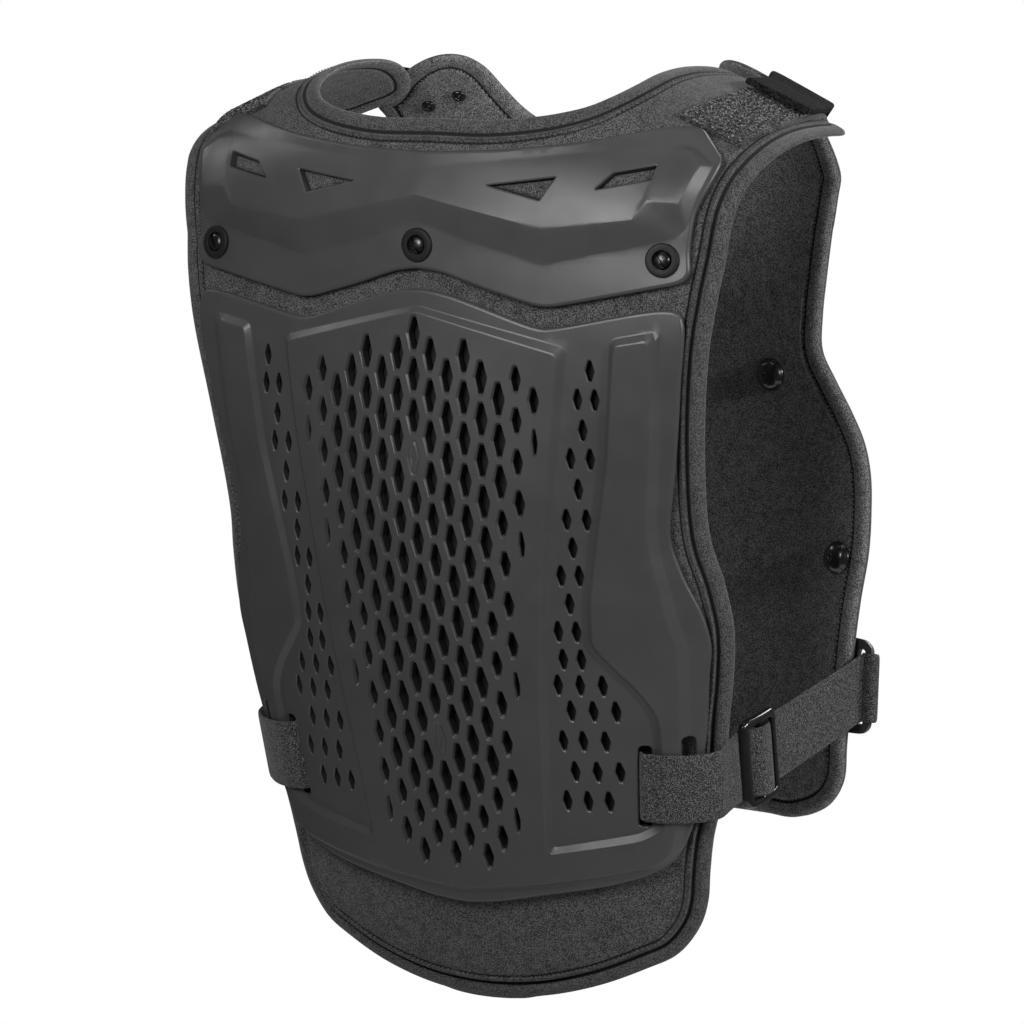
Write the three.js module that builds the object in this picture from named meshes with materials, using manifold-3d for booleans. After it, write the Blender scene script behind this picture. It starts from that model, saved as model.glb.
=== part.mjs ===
// A motorcycle armour vest: a padded front panel and back panel joined over the shoulders by hook
// tabs and at the waist by elastic straps, with moulded plates on the chest and on the back.
// Millimetres, +Z up. X runs across the vest, with +X at the wearer's left, and the front faces -Y.
// The origin lies midway between the shoulders, at the height where the straps rest on them.

import * as THREE from "three";
import { mergeVertices } from "three/addons/utils/BufferGeometryUtils.js";
import Module from "manifold-3d";

// Driving dimensions of the worn form
const CHEST_REACH = 118.5; // from the shoulder line forward to the front of the chest
const BACK_REACH = 115; // from the shoulder line back to the shoulder blades
const SHOULDER_BASE = 74; // below the seat, where the front and the back start to turn over
const FRONT_FALL = 410; // from the shoulder base down to the front hem
const BACK_FALL = 322; // from the shoulder base down to the back hem
const CREST_RISE = 44.4; // where the shoulder crests would meet above the seat, at the neck
const SHOULDER_SLOPE = 0.47; // fall of the crest towards the arm
const SHOULDER_EASE = 60; // half width within which that slope rounds off
const SHOULDER_ROUNDNESS = 2.5; // exponent of the curve that turns over the shoulder
const FORM_HALF = 150; // half width at which the set-back of the sides is given
const FRONT_SET_BACK = 50; // the front's sides behind its centre line, at the belly
const BACK_SET_FORWARD = 28; // the back's sides ahead of its centre line

// Padded panels
const CHEST_HALF = 161.5; // half width of the front panel at the chest
const BACK_HALF = 157; // half width of the back panel at its widest
const PANEL_WALL = 8; // padded fabric, with a rounded bound edge
const EDGE_BULGE = 2.2; // how far the bound edge rounds out
const FIT = 1.8; // between a moulded plate and the fabric that it lies on
const TOUCH = 0.35; // between small fittings and what carries them
const SEAT = 1; // below a small turned fitting, which is flat where its seat is curved

// Chest plate and yoke
const PLATE_HALF = 145;
const PLATE_HEIGHT = 332;
const PLATE_TOP = 96; // from the seat down to the peak of the chest plate
const PLATE_WALL = 3.6;
const FIELD_RISE = 3.2; // the raised middle field above the plate
const SIDE_PANEL_RISE = 1.8;
const HOLE_WIDTH = 6.8;
const HOLE_HEIGHT = 17;
const HOLE_TIP = 2.4; // width of a hole's blunt upper and lower ends
const HOLE_PITCH = 9.5; // between two columns of holes
const HOLE_DROP = 21.54; // between two holes of a column
const FIRST_HOLE = 23; // from the plate's peak to the top hole of the middle column
const HOLE_MARGIN = 7.4; // from the border of the field to the middle of the nearest hole
const YOKE_HALF = 156;
const YOKE_HEIGHT = 90.5;
const YOKE_TOP = 13; // from the seat down to the yoke's top corners
const YOKE_WALL = 3.4;
const YOKE_RISE = 4.8; // the raised block of the yoke above its base
const FACET = 34; // longest reach across the vest of one of the moulded plates' edges
const UPRIGHT_EASE = 0.4; // the chest hardly curves up and down, so an upright edge counts for less
const YOKE_FACET = 28;
const YOKE_EASE = 1; // near the shoulders the form curves as much upwards as across

// Fasteners
const SCREW_HALF = 133; // from the middle to the outer screws
const SCREW_DROP = 78; // from the seat down to the outer screws
const SCREW_MIDDLE_DROP = 73;
const WASHER_WIDTH = 18;
const WASHER_HEIGHT = 2.2;
const SCREW_WIDTH = 10;
const SCREW_HEIGHT = 3;
const SCREW_SLOT = 1.6;
const FITTING_BEVEL = 1; // round the top of a washer and of a screw's head
const DOME_WIDTH = 13.5;
const DOME_HEIGHT = 5.5;
const RIVET_WIDTH = 7.5;
const RIVET_HEIGHT = 1.4;
const SIDES = 10;

// Straps
const WEB_WIDTH = 38;
const WEB_WALL = 1.8;
const PAST_PANEL = 146; // from the middle to where the strap turns past the panel's edge
const SLOT_LENGTH = 45;
const SLOT_WIDTH = 6.4;
const SLOT_X = 103; // from the middle to the strap slot
const SLOT_DROP = 357; // from the seat down to the middle of the strap slot
const SLOT_LEAN = 4.4; // how far the slot's lower end lies inside its upper end
const BUCKLE_X = 145.5; // from the middle to the middle of the buckle
const BUCKLE_Y = -11; // the buckle's middle, from the shoulder line
const BUCKLE_DROP = 348; // from the seat down to the buckle's middle
const BUCKLE_LENGTH = 35;
const BUCKLE_BAR = 5;
const BUCKLE_RAIL = 4.5;
const BUCKLE_WALL = 3.4;
const CORNER_STEPS = 3; // facets of a rounded corner
const BUCKLE_TURN = 0.5; // share of the strap's slope that the buckle takes up
const BUCKLE_GAP = 1; // beside the webbing, in the frame
const BUCKLE_APPROACH = 3; // from the buckle's end to where the strap starts to weave
const APPROACH_DIP = 0.8; // share of the weave's depth that the strap has there
const STRAP_ON_PLATE = [2.4, 12, 21]; // from the slot's middle to each bend of the strap on the plate
const STRAP_LEAVES = 0.915; // share of the plate's half width at which the strap leaves it
const REAR_STEPS = [0.4, 0.75]; // shares of the way from the buckle to the lug
const BAR_EASE = 0.5; // where the strap starts to turn round the lug's bar
const TUCK = 0.4; // beside the middle of the lug's slot, where the strap's end goes in
const TUCK_DEPTH = 1; // above the back panel, at the strap's end
const TAB_WIDTH = 36;
const TAB_WALL = 2.4;
const PATCH_WALL = 2;
const BACK_PLATE_HALF = 118;
const BACK_PLATE_HEIGHT = 300;
const BACK_PLATE_TOP = 46; // from the seat down to the back plate's top edge
const BACK_PLATE_WALL = 3.4;
const BACK_PLATE_RISE = 3;
const BACK_FIELD_ACROSS = 0.8; // the back plate's raised field, as shares of the plate
const BACK_FIELD_DOWN = 0.86;
const LUG_TAPER = 4; // how much shorter a lug is at each corner of its outer end
const LUG_REACH = 161.5; // from the middle to the outer end of a strap lug
const LUG_DROP = 321; // from the seat down to the middle of the lugs
const LUG_HEIGHT = 58;
const LUG_BAR = 4.5;
const LUG_SLOT_WIDTH = 5.4;
const LUG_SLOT_LENGTH = 42;

const wasm = await Module();
wasm.setup();

const FABRIC = new THREE.MeshStandardMaterial({ color: 0x37383a, roughness: 0.95, metalness: 0 });
const MOULDED = new THREE.MeshStandardMaterial({ color: 0x414244, roughness: 0.55, metalness: 0 });
const LOOP_PILE = new THREE.MeshStandardMaterial({ color: 0x2c2c2d, roughness: 1, metalness: 0 });
const WEBBING = new THREE.MeshStandardMaterial({ color: 0x4a4b4d, roughness: 0.9, metalness: 0 });
const GLOSS = new THREE.MeshStandardMaterial({ color: 0x141415, roughness: 0.25, metalness: 0 });
const DARK_METAL = new THREE.MeshStandardMaterial({ color: 0x2a2b2d, roughness: 0.35, metalness: 0.9 });

// Sections of the front, from the shoulder base down to the hem. Columns: share of the fall, reach
// as a share of the chest's, set-back of the sides as a share of the belly's, exponent of the curve.
const FRONT_SECTIONS = [
  { fall: 0, reach: 0.983, set: 0.46, power: 1.8 },
  { fall: 0.054, reach: 0.992, set: 0.42, power: 1.7 },
  { fall: 0.122, reach: 1, set: 0.44, power: 1.7 },
  { fall: 0.22, reach: 1.002, set: 0.6, power: 1.8 },
  { fall: 0.317, reach: 0.987, set: 0.78, power: 1.9 },
  { fall: 0.439, reach: 0.932, set: 0.94, power: 2 },
  { fall: 0.561, reach: 0.84, set: 0.98, power: 2.1 },
  { fall: 0.683, reach: 0.722, set: 1, power: 2.2 },
  { fall: 0.805, reach: 0.612, set: 1, power: 2.2 },
  { fall: 0.902, reach: 0.515, set: 0.96, power: 2.2 },
  { fall: 1, reach: 0.4, set: 0.9, power: 2.2 },
];
const BACK_SECTIONS = [
  { fall: 0, reach: 0.927, set: 0.79, power: 2 },
  { fall: 0.155, reach: 0.976, set: 0.79, power: 2 },
  { fall: 0.31, reach: 1, set: 0.86, power: 2 },
  { fall: 0.466, reach: 0.992, set: 0.93, power: 2 },
  { fall: 0.621, reach: 0.951, set: 1, power: 2 },
  { fall: 0.776, reach: 0.902, set: 1, power: 2 },
  { fall: 1, reach: 0.878, set: 1, power: 2 },
];

// Half of the front panel, a row for each section. Station -1 is the hem, 0 the shoulder base, 0.5
// the crest and 1 the base at the back. Columns: station in the middle, station at the edge, and the
// inner and outer half widths as shares of the chest's.
const FRONT_ROWS = [
  { mid: -1, edge: -0.925, inner: 0, outer: 0.669 },
  { mid: -0.963, edge: -0.888, inner: 0, outer: 0.743 },
  { mid: -0.915, edge: -0.854, inner: 0, outer: 0.774 },
  { mid: -0.854, edge: -0.815, inner: 0, outer: 0.789 },
  { mid: -0.793, edge: -0.768, inner: 0, outer: 0.811 },
  { mid: -0.732, edge: -0.724, inner: 0, outer: 0.842 },
  { mid: -0.671, edge: -0.671, inner: 0, outer: 0.87 },
  { mid: -0.61, edge: -0.61, inner: 0, outer: 0.895 },
  { mid: -0.549, edge: -0.549, inner: 0, outer: 0.923 },
  { mid: -0.488, edge: -0.488, inner: 0, outer: 0.938 },
  { mid: -0.427, edge: -0.427, inner: 0, outer: 0.926 },
  { mid: -0.366, edge: -0.366, inner: 0, outer: 0.901 },
  { mid: -0.244, edge: -0.244, inner: 0, outer: 0.916 },
  { mid: -0.122, edge: -0.122, inner: 0, outer: 0.954 },
  { mid: -0.061, edge: -0.061, inner: 0, outer: 0.978 },
  { mid: 0, edge: 0, inner: 0, outer: 1 },
  { mid: 0.08, edge: 0.09, inner: 0, outer: 1.022 },
  { mid: 0.157, edge: 0.175, inner: 0, outer: 1.045 },
  { mid: 0.162, edge: 0.19, inner: 0.186, outer: 1.05 },
  { mid: 0.179, edge: 0.207, inner: 0.316, outer: 1.056 },
  { mid: 0.204, edge: 0.232, inner: 0.421, outer: 1.062 },
  { mid: 0.24, edge: 0.262, inner: 0.508, outer: 1.07 },
  { mid: 0.289, edge: 0.3, inner: 0.567, outer: 1.078 },
  { mid: 0.345, edge: 0.35, inner: 0.602, outer: 1.086 },
  { mid: 0.42, edge: 0.42, inner: 0.616, outer: 1.092 },
  { mid: 0.5, edge: 0.5, inner: 0.622, outer: 1.09 },
  { mid: 0.57, edge: 0.57, inner: 0.635, outer: 1.08 },
  { mid: 0.62, edge: 0.62, inner: 0.65, outer: 1.05 },
  { mid: 0.665, edge: 0.66, inner: 0.67, outer: 1.01 },
  { mid: 0.695, edge: 0.69, inner: 0.7, outer: 0.96 },
  { mid: 0.708, edge: 0.708, inner: 0.755, outer: 0.89 },
];
const FRONT_COLUMNS = 6;

// Half of the back panel, from its hem at station 2 up to the top of its shoulder, as above, with the
// half widths as shares of the back's.
const BACK_ROWS = [
  { mid: 2, edge: 2, inner: 0, outer: 0.735 },
  { mid: 1.995, edge: 1.972, inner: 0, outer: 0.875 },
  { mid: 1.95, edge: 1.93, inner: 0, outer: 0.935 },
  { mid: 1.88, edge: 1.87, inner: 0, outer: 0.945 },
  { mid: 1.8, edge: 1.8, inner: 0, outer: 0.955 },
  { mid: 1.7, edge: 1.7, inner: 0, outer: 0.963 },
  { mid: 1.62, edge: 1.62, inner: 0, outer: 0.978 },
  { mid: 1.54, edge: 1.54, inner: 0, outer: 1 },
  { mid: 1.47, edge: 1.47, inner: 0, outer: 1 },
  { mid: 1.41, edge: 1.41, inner: 0, outer: 0.99 },
  { mid: 1.36, edge: 1.36, inner: 0, outer: 0.96 },
  { mid: 1.31, edge: 1.31, inner: 0, outer: 0.9 },
  { mid: 1.26, edge: 1.26, inner: 0, outer: 0.83 },
  { mid: 1.21, edge: 1.21, inner: 0, outer: 0.772 },
  { mid: 1.15, edge: 1.15, inner: 0, outer: 0.775 },
  { mid: 1.07, edge: 1.07, inner: 0, outer: 0.805 },
  { mid: 1, edge: 1, inner: 0, outer: 0.835 },
  { mid: 0.95, edge: 0.95, inner: 0, outer: 0.86 },
  { mid: 0.918, edge: 0.91, inner: 0, outer: 0.878 },
  { mid: 0.908, edge: 0.885, inner: 0.16, outer: 0.872 },
  { mid: 0.885, edge: 0.855, inner: 0.29, outer: 0.86 },
  { mid: 0.85, edge: 0.82, inner: 0.375, outer: 0.845 },
  { mid: 0.8, edge: 0.797, inner: 0.43, outer: 0.838 },
  { mid: 0.74, edge: 0.775, inner: 0.468, outer: 0.845 },
  { mid: 0.705, edge: 0.757, inner: 0.505, outer: 0.85 },
  { mid: 0.686, edge: 0.745, inner: 0.55, outer: 0.835 },
  { mid: 0.68, edge: 0.735, inner: 0.6, outer: 0.79 },
];
const BACK_COLUMNS = 5;

// Outlines in front elevation. Columns: half width and drop, as shares of the plate's own.
const PLATE_OUTLINE = [
  { across: 0, down: 0 },
  { across: 0.12, down: 0.007 },
  { across: 0.45, down: 0.0515 },
  { across: 0.497, down: 0.0545 },
  { across: 0.55, down: 0.0515 },
  { across: 0.93, down: 0.0215 },
  { across: 0.983, down: 0.026 },
  { across: 1, down: 0.045 },
  { across: 0.976, down: 0.145 },
  { across: 0.938, down: 0.259 },
  { across: 0.903, down: 0.34 },
  { across: 0.892, down: 0.38 },
  { across: 0.917, down: 0.44 },
  { across: 0.965, down: 0.506 },
  { across: 0.979, down: 0.554 },
  { across: 0.965, down: 0.6 },
  { across: 0.938, down: 0.687 },
  { across: 0.917, down: 0.732 },
  { across: 0.855, down: 0.852 },
  { across: 0.786, down: 0.91 },
  { across: 0.724, down: 0.931 },
  { across: 0.6, down: 0.952 },
  { across: 0.345, down: 0.976 },
  { across: 0, down: 1 },
];
const FIELD_OUTLINE = [
  { across: 0, down: 0.045 },
  { across: 0.565, down: 0.081 },
  { across: 0.58, down: 0.09 },
  { across: 0.538, down: 0.202 },
  { across: 0.483, down: 0.37 },
  { across: 0.421, down: 0.614 },
  { across: 0.345, down: 0.876 },
  { across: 0.31, down: 0.935 },
  { across: 0, down: 0.962 },
];
// Columns of holes, from the middle out: the first hole's drop and the rows left filled, in hole drops.
const LATTICE_COLUMNS = [
  { column: 0, start: 0, holes: 14, filled: [3, 10] },
  { column: 1, start: 0.5, holes: 13, filled: [] },
  { column: 2, start: 1, holes: 13, filled: [] },
  { column: 3, start: 0.5, holes: 13, filled: [] },
  { column: 4, start: 1, holes: 6, filled: [] },
];

const SIDE_PANEL_OUTLINE = [
  { across: 0.738, down: 0.066 },
  { across: 0.924, down: 0.052 },
  { across: 0.903, down: 0.226 },
  { across: 0.855, down: 0.34 },
  { across: 0.855, down: 0.398 },
  { across: 0.883, down: 0.512 },
  { across: 0.903, down: 0.545 },
  { across: 0.876, down: 0.681 },
  { across: 0.766, down: 0.69 },
  { across: 0.766, down: 0.669 },
  { across: 0.731, down: 0.636 },
  { across: 0.634, down: 0.59 },
  { across: 0.579, down: 0.554 },
  { across: 0.586, down: 0.485 },
  { across: 0.634, down: 0.386 },
  { across: 0.69, down: 0.265 },
  { across: 0.724, down: 0.16 },
];
const YOKE_OUTLINE = [
  { across: 0, down: 0.138 },
  { across: 0.276, down: 0.122 },
  { across: 0.538, down: 0.077 },
  { across: 0.81, down: 0 },
  { across: 0.878, down: 0.006 },
  { across: 1, down: 0.177 },
  { across: 0.949, down: 0.453 },
  { across: 0.939, down: 0.674 },
  { across: 0.945, down: 0.785 },
  { across: 0.897, down: 0.856 },
  { across: 0.49, down: 0.99 },
  { across: 0.44, down: 0.995 },
  { across: 0.24, down: 0.905 },
  { across: 0.09, down: 0.82 },
  { across: 0, down: 0.8 },
];
// The yoke's raised block: the foot and the brow of each slope.
const YOKE_FOOT = [
  { across: 0, down: 0.22 },
  { across: 0.872, down: 0.045 },
  { across: 0.965, down: 0.177 },
  { across: 0.917, down: 0.564 },
  { across: 0.462, down: 0.757 },
  { across: 0, down: 0.53 },
];
const YOKE_BROW = [
  { across: 0, down: 0.25 },
  { across: 0.846, down: 0.08 },
  { across: 0.846, down: 0.177 },
  { across: 0.776, down: 0.497 },
  { across: 0.474, down: 0.541 },
  { across: 0, down: 0.387 },
];
const YOKE_WINDOWS = [
  [
    { across: 0.66, down: 0.25 },
    { across: 0.81, down: 0.213 },
    { across: 0.8, down: 0.287 },
    { across: 0.622, down: 0.337 },
  ],
  [
    { across: 0.25, down: 0.32 },
    { across: 0.487, down: 0.271 },
    { across: 0.442, down: 0.398 },
  ],
];
const BACK_PLATE_OUTLINE = [
  { across: 0, down: 0.02 },
  { across: 0.5, down: 0 },
  { across: 0.78, down: 0.03 },
  { across: 0.84, down: 0.12 },
  { across: 0.8, down: 0.3 },
  { across: 0.96, down: 0.46 },
  { across: 1, down: 0.6 },
  { across: 0.97, down: 0.85 },
  { across: 0.8, down: 0.97 },
  { across: 0, down: 1 },
];

// A smooth curve through the rows of a table, read at any share of the fall.
function smoothTable(rows, column) {
  const slope = rows.map((row, i) => {
    const before = rows[Math.max(i - 1, 0)];
    const after = rows[Math.min(i + 1, rows.length - 1)];
    return (after[column] - before[column]) / (after.fall - before.fall);
  });
  return (fall) => {
    const u = Math.min(Math.max(fall, 0), rows[rows.length - 1].fall);
    let i = rows.length - 2;
    while (i > 0 && rows[i].fall > u) i -= 1;
    const span = rows[i + 1].fall - rows[i].fall;
    const t = (u - rows[i].fall) / span;
    const flat = t * t * (3 - 2 * t);
    const rise = t * (1 - t) * (1 - t) * slope[i] - t * t * (1 - t) * slope[i + 1];
    return rows[i][column] * (1 - flat) + rows[i + 1][column] * flat + rise * span;
  };
}

// Depth of the worn form from the shoulder line at a half width and a fall.
function sideForm(rows, reach, set) {
  const reachAt = smoothTable(rows, "reach");
  const setAt = smoothTable(rows, "set");
  const powerAt = smoothTable(rows, "power");
  return (x, fall) => reach * reachAt(fall) - set * setAt(fall) * (Math.abs(x) / FORM_HALF) ** powerAt(fall);
}
const frontDepth = sideForm(FRONT_SECTIONS, CHEST_REACH, FRONT_SET_BACK);
const backDepth = sideForm(BACK_SECTIONS, BACK_REACH, BACK_SET_FORWARD);
const crestHeight = (x) => CREST_RISE - SHOULDER_SLOPE * (Math.hypot(x, SHOULDER_EASE) - SHOULDER_EASE);

// A point of the worn form: station -1 to 0 up the front, 0 to 1 over the shoulder, 1 to 2 down the back.
function formPoint(x, station) {
  if (station <= 0) {
    const z = -SHOULDER_BASE + station * FRONT_FALL;
    return new THREE.Vector3(x, -frontDepth(x, -station), z);
  }
  if (station >= 1) {
    const z = -SHOULDER_BASE - (station - 1) * BACK_FALL;
    return new THREE.Vector3(x, backDepth(x, station - 1), z);
  }
  const turn = Math.PI * station;
  const along = Math.abs(Math.cos(turn)) ** (2 / SHOULDER_ROUNDNESS);
  const up = Math.sin(turn) ** (2 / SHOULDER_ROUNDNESS);
  const y = station < 0.5 ? -frontDepth(x, 0) * along : backDepth(x, 0) * along;
  return new THREE.Vector3(x, y, -SHOULDER_BASE + (crestHeight(x) + SHOULDER_BASE) * up);
}

// The station of the front or the back at a half width and a height.
function stationAt(x, z, back) {
  const above = z + SHOULDER_BASE;
  if (above <= 0) return back ? 1 - above / BACK_FALL : above / FRONT_FALL;
  const up = Math.min(above / (crestHeight(x) + SHOULDER_BASE), 1) ** (SHOULDER_ROUNDNESS / 2);
  const turn = Math.asin(up) / Math.PI;
  return back ? 1 - turn : turn;
}

// The same point lifted off the form along its outward normal.
function liftedPoint(x, station, lift) {
  const step = 0.002;
  const across = formPoint(x + 1, station).sub(formPoint(x - 1, station));
  const along = formPoint(x, station + step).sub(formPoint(x, station - step));
  return formPoint(x, station).addScaledVector(across.cross(along).normalize(), lift);
}
const frontPoint = (x, z, lift) => liftedPoint(x, stationAt(x, z, false), lift);
const backPoint = (x, z, lift) => liftedPoint(x, stationAt(x, z, true), lift);

// A geometry from corner points and faces of any number of corners.
function faceted(points, faces) {
  const index = faces.flatMap((face) => face.slice(2).flatMap((corner, i) => [face[0], face[i + 1], corner]));
  const geometry = new THREE.BufferGeometry();
  geometry.setAttribute("position", new THREE.Float32BufferAttribute(points.flatMap((p) => p.toArray()), 3));
  geometry.setIndex(index);
  return geometry;
}

// Keeps the places of the corners alone, and joins corners that fall together.
function welded(geometry) {
  const bare = geometry.index ? geometry.toNonIndexed() : geometry.clone();
  for (const name of Object.keys(bare.attributes)) if (name !== "position") bare.deleteAttribute(name);
  return mergeVertices(bare, 1e-4);
}

function solidOf(geometry) {
  const merged = welded(geometry);
  return new wasm.Manifold(
    new wasm.Mesh({
      numProp: 3,
      vertProperties: new Float32Array(merged.attributes.position.array),
      triVerts: new Uint32Array(merged.index.array),
    }),
  );
}

function geometryOf(solid) {
  const mesh = solid.getMesh();
  const geometry = new THREE.BufferGeometry();
  geometry.setAttribute("position", new THREE.Float32BufferAttribute(mesh.vertProperties, mesh.numProp));
  geometry.setIndex([...mesh.triVerts]);
  return geometry;
}

// The other hand of a piece, as its reflection in the plane between the shoulders.
function mirrored(geometry) {
  const other = welded(geometry);
  const place = other.attributes.position;
  for (let i = 0; i < place.count; i += 1) place.setX(i, -place.getX(i));
  const index = other.index.array;
  for (let i = 0; i < index.length; i += 3) [index[i + 1], index[i + 2]] = [index[i + 2], index[i + 1]];
  return other;
}

// Splits the long edges of a mesh, so that it can follow a curved form.
function subdivided(geometry, limit, ease) {
  const merged = welded(geometry);
  const points = [];
  for (let i = 0; i < merged.attributes.position.count; i += 1)
    points.push(new THREE.Vector3().fromBufferAttribute(merged.attributes.position, i));
  let triangles = [];
  for (let i = 0; i < merged.index.count; i += 3)
    triangles.push([merged.index.getX(i), merged.index.getX(i + 1), merged.index.getX(i + 2)]);
  const reach = (a, b) => Math.hypot(points[a].x - points[b].x, (points[a].y - points[b].y) * ease);
  let again = true;
  while (again) {
    again = false;
    const middles = new Map();
    const next = [];
    for (const triangle of triangles) {
      const lengths = triangle.map((a, k) => reach(a, triangle[(k + 1) % 3]));
      const longest = lengths.indexOf(Math.max(...lengths));
      if (lengths[longest] <= limit) {
        next.push(triangle);
        continue;
      }
      const [a, b, c] = [0, 1, 2].map((k) => triangle[(longest + k) % 3]);
      const key = a < b ? `${a} ${b}` : `${b} ${a}`;
      if (!middles.has(key)) {
        middles.set(key, points.length);
        points.push(points[a].clone().add(points[b]).multiplyScalar(0.5));
      }
      next.push([a, middles.get(key), c], [middles.get(key), b, c]);
      again = true;
    }
    triangles = closedSplits(next, middles);
  }
  return faceted(points, triangles);
}

// Splits each neighbour that still has the whole of an edge that was split.
function closedSplits(triangles, middles) {
  let result = triangles;
  let open = true;
  while (open) {
    open = false;
    const next = [];
    for (const triangle of result) {
      const k = triangle.findIndex((a, i) => {
        const b = triangle[(i + 1) % 3];
        return middles.has(a < b ? `${a} ${b}` : `${b} ${a}`);
      });
      if (k < 0) {
        next.push(triangle);
        continue;
      }
      const [a, b, c] = [0, 1, 2].map((i) => triangle[(k + i) % 3]);
      const middle = middles.get(a < b ? `${a} ${b}` : `${b} ${a}`);
      next.push([a, middle, c], [middle, b, c]);
      open = true;
    }
    result = next;
  }
  return result;
}

// Bends a plate drawn flat, with X across, Y up and Z as its lift, onto the front or the back.
function bentOnto(place, geometry, facet, ease) {
  const bent = subdivided(geometry, facet, ease);
  const position = bent.attributes.position;
  for (let i = 0; i < position.count; i += 1)
    position.setXYZ(i, ...place(position.getX(i), position.getY(i), position.getZ(i)).toArray());
  return bent;
}

// A symmetrical outline from the rows of its right half, and a one-sided one from rows as they are.
const charted = (rows, half, top, height) =>
  rows.map((row) => new THREE.Vector2(row.across * half, -top - row.down * height));
function bothHalves(points) {
  const others = points.filter((p) => p.x > 0).map((p) => new THREE.Vector2(-p.x, p.y));
  return [...points, ...others.reverse()];
}
const flippedLoop = (points) => points.map((p) => new THREE.Vector2(-p.x, p.y)).reverse();

// A flat slab between two lifts.
function slab(points, low, high) {
  const shape = new THREE.Shape(points);
  const geometry = new THREE.ExtrudeGeometry(shape, { depth: high - low, bevelEnabled: false });
  return solidOf(geometry.translate(0, 0, low));
}

// A block with sloping sides between two loops of as many corners, both drawn clockwise.
function slopedBlock(foot, brow, low, high) {
  const count = brow.length;
  const points = [];
  for (const p of foot) points.push(new THREE.Vector3(p.x, p.y, low));
  for (const p of brow) points.push(new THREE.Vector3(p.x, p.y, high));
  const sides = brow.map((_, i) => [i, count + i, count + ((i + 1) % count), (i + 1) % count]);
  const floor = THREE.ShapeUtils.triangulateShape(foot, []).map((t) => [...t].reverse());
  const roof = THREE.ShapeUtils.triangulateShape(brow, []).map((t) => t.map((i) => i + count));
  return solidOf(faceted(points, [...sides, ...floor, ...roof]));
}

// A padded half panel from its rows, mirrored and joined at the middle. Its outer face is lifted by
// the first value and its inner face by the second, with a rounded bound edge between them.
function paddedPanel(rows, columns, half, outside, inside) {
  const grid = rows.map((row) =>
    Array.from({ length: columns + 1 }, (_, j) => {
      const t = j / columns;
      const station = row.mid + (row.edge - row.mid) * t * t;
      return { x: half * (row.inner + (row.outer - row.inner) * t), station };
    }),
  );
  const last = rows.length - 1;
  const isSeam = (i, j) => j === 0 && rows[i].inner === 0;
  const points = [];
  const faces = [];
  const add = (p) => points.push(p) - 1;
  const skin = (lift) => grid.map((line) => line.map((c) => add(liftedPoint(c.x, c.station, lift))));
  const outer = skin(outside);
  const inner = skin(inside);
  // The perimeter, from the middle of the hem out, up the side, and back down the neck edge.
  const perimeter = [];
  for (let j = 0; j < columns; j += 1) perimeter.push([0, j]);
  for (let i = 0; i < last; i += 1) perimeter.push([i, columns]);
  for (let j = columns; j > 0; j -= 1) perimeter.push([last, j]);
  for (let i = last; rows[i].inner > 0; i -= 1) perimeter.push([i, 0]);
  perimeter.push([rows.findIndex((row) => row.inner > 0) - 1, 0]);
  const rims = perimeter.map(([i, j]) => {
    const edge = points[outer[i][j]].clone().add(points[inner[i][j]]).multiplyScalar(0.5);
    const innerI = Math.min(Math.max(i, 1), last - 1);
    const innerJ = isSeam(i, j) ? 0 : Math.min(Math.max(j, 1), columns - 1);
    const towards = points[outer[innerI][innerJ]].clone().add(points[inner[innerI][innerJ]]).multiplyScalar(0.5);
    const out = edge.clone().sub(towards);
    if (isSeam(i, j)) out.x = 0;
    return add(edge.addScaledVector(out.normalize(), EDGE_BULGE));
  });
  const downward = rows[0].mid > rows[last].mid;
  const keep = (face) => faces.push(downward ? face.reverse() : face);
  for (let i = 0; i < last; i += 1)
    for (let j = 0; j < columns; j += 1) {
      keep([outer[i][j], outer[i][j + 1], outer[i + 1][j + 1], outer[i + 1][j]]);
      keep([inner[i][j], inner[i + 1][j], inner[i + 1][j + 1], inner[i][j + 1]]);
    }
  for (let k = 0; k < perimeter.length - 1; k += 1) {
    const [a, b] = [perimeter[k], perimeter[k + 1]];
    keep([outer[a[0]][a[1]], rims[k], rims[k + 1], outer[b[0]][b[1]]]);
    keep([rims[k], inner[a[0]][a[1]], inner[b[0]][b[1]], rims[k + 1]]);
  }
  const right = faceted(points, faces);
  const left = mirrored(right);
  const whole = faceted(
    [right, left].flatMap((g) => {
      const p = g.attributes.position;
      return Array.from({ length: p.count }, (_, i) => new THREE.Vector3().fromBufferAttribute(p, i));
    }),
    [],
  );
  const shift = right.attributes.position.count;
  whole.setIndex([...right.index.array, ...[...left.index.array].map((i) => i + shift)]);
  return welded(whole);
}

// A flat piece that follows the form, with its middle line, its lift and its slant by the row.
function formStrip(rows, width, wall) {
  const across = 3;
  const lines = rows.map((row) =>
    [0, wall].map((lift) =>
      Array.from({ length: across + 1 }, (_, j) => {
        const side = j / across - 0.5;
        return liftedPoint(row.x + side * width, row.station + side * row.slant, row.lift + lift);
      }),
    ),
  );
  // Each section is a closed loop: out along the upper face and back along the lower one.
  const loops = lines.map(([lower, upper]) => [...upper, ...lower.reverse()]);
  return loft(loops);
}

// A closed solid through loops of as many corners each.
function loft(loops) {
  const count = loops[0].length;
  const faces = [];
  for (let i = 0; i < loops.length - 1; i += 1)
    for (let k = 0; k < count; k += 1) {
      const next = (k + 1) % count;
      faces.push([i * count + k, i * count + next, (i + 1) * count + next, (i + 1) * count + k]);
    }
  const half = count / 2;
  const end = (loops.length - 1) * count;
  for (let k = 0; k < half - 1; k += 1) {
    faces.push([k + 1, k, count - 1 - k, count - 2 - k]);
    faces.push([end + k, end + k + 1, end + count - 2 - k, end + count - 1 - k]);
  }
  return faceted(loops.flat(), faces);
}

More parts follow.
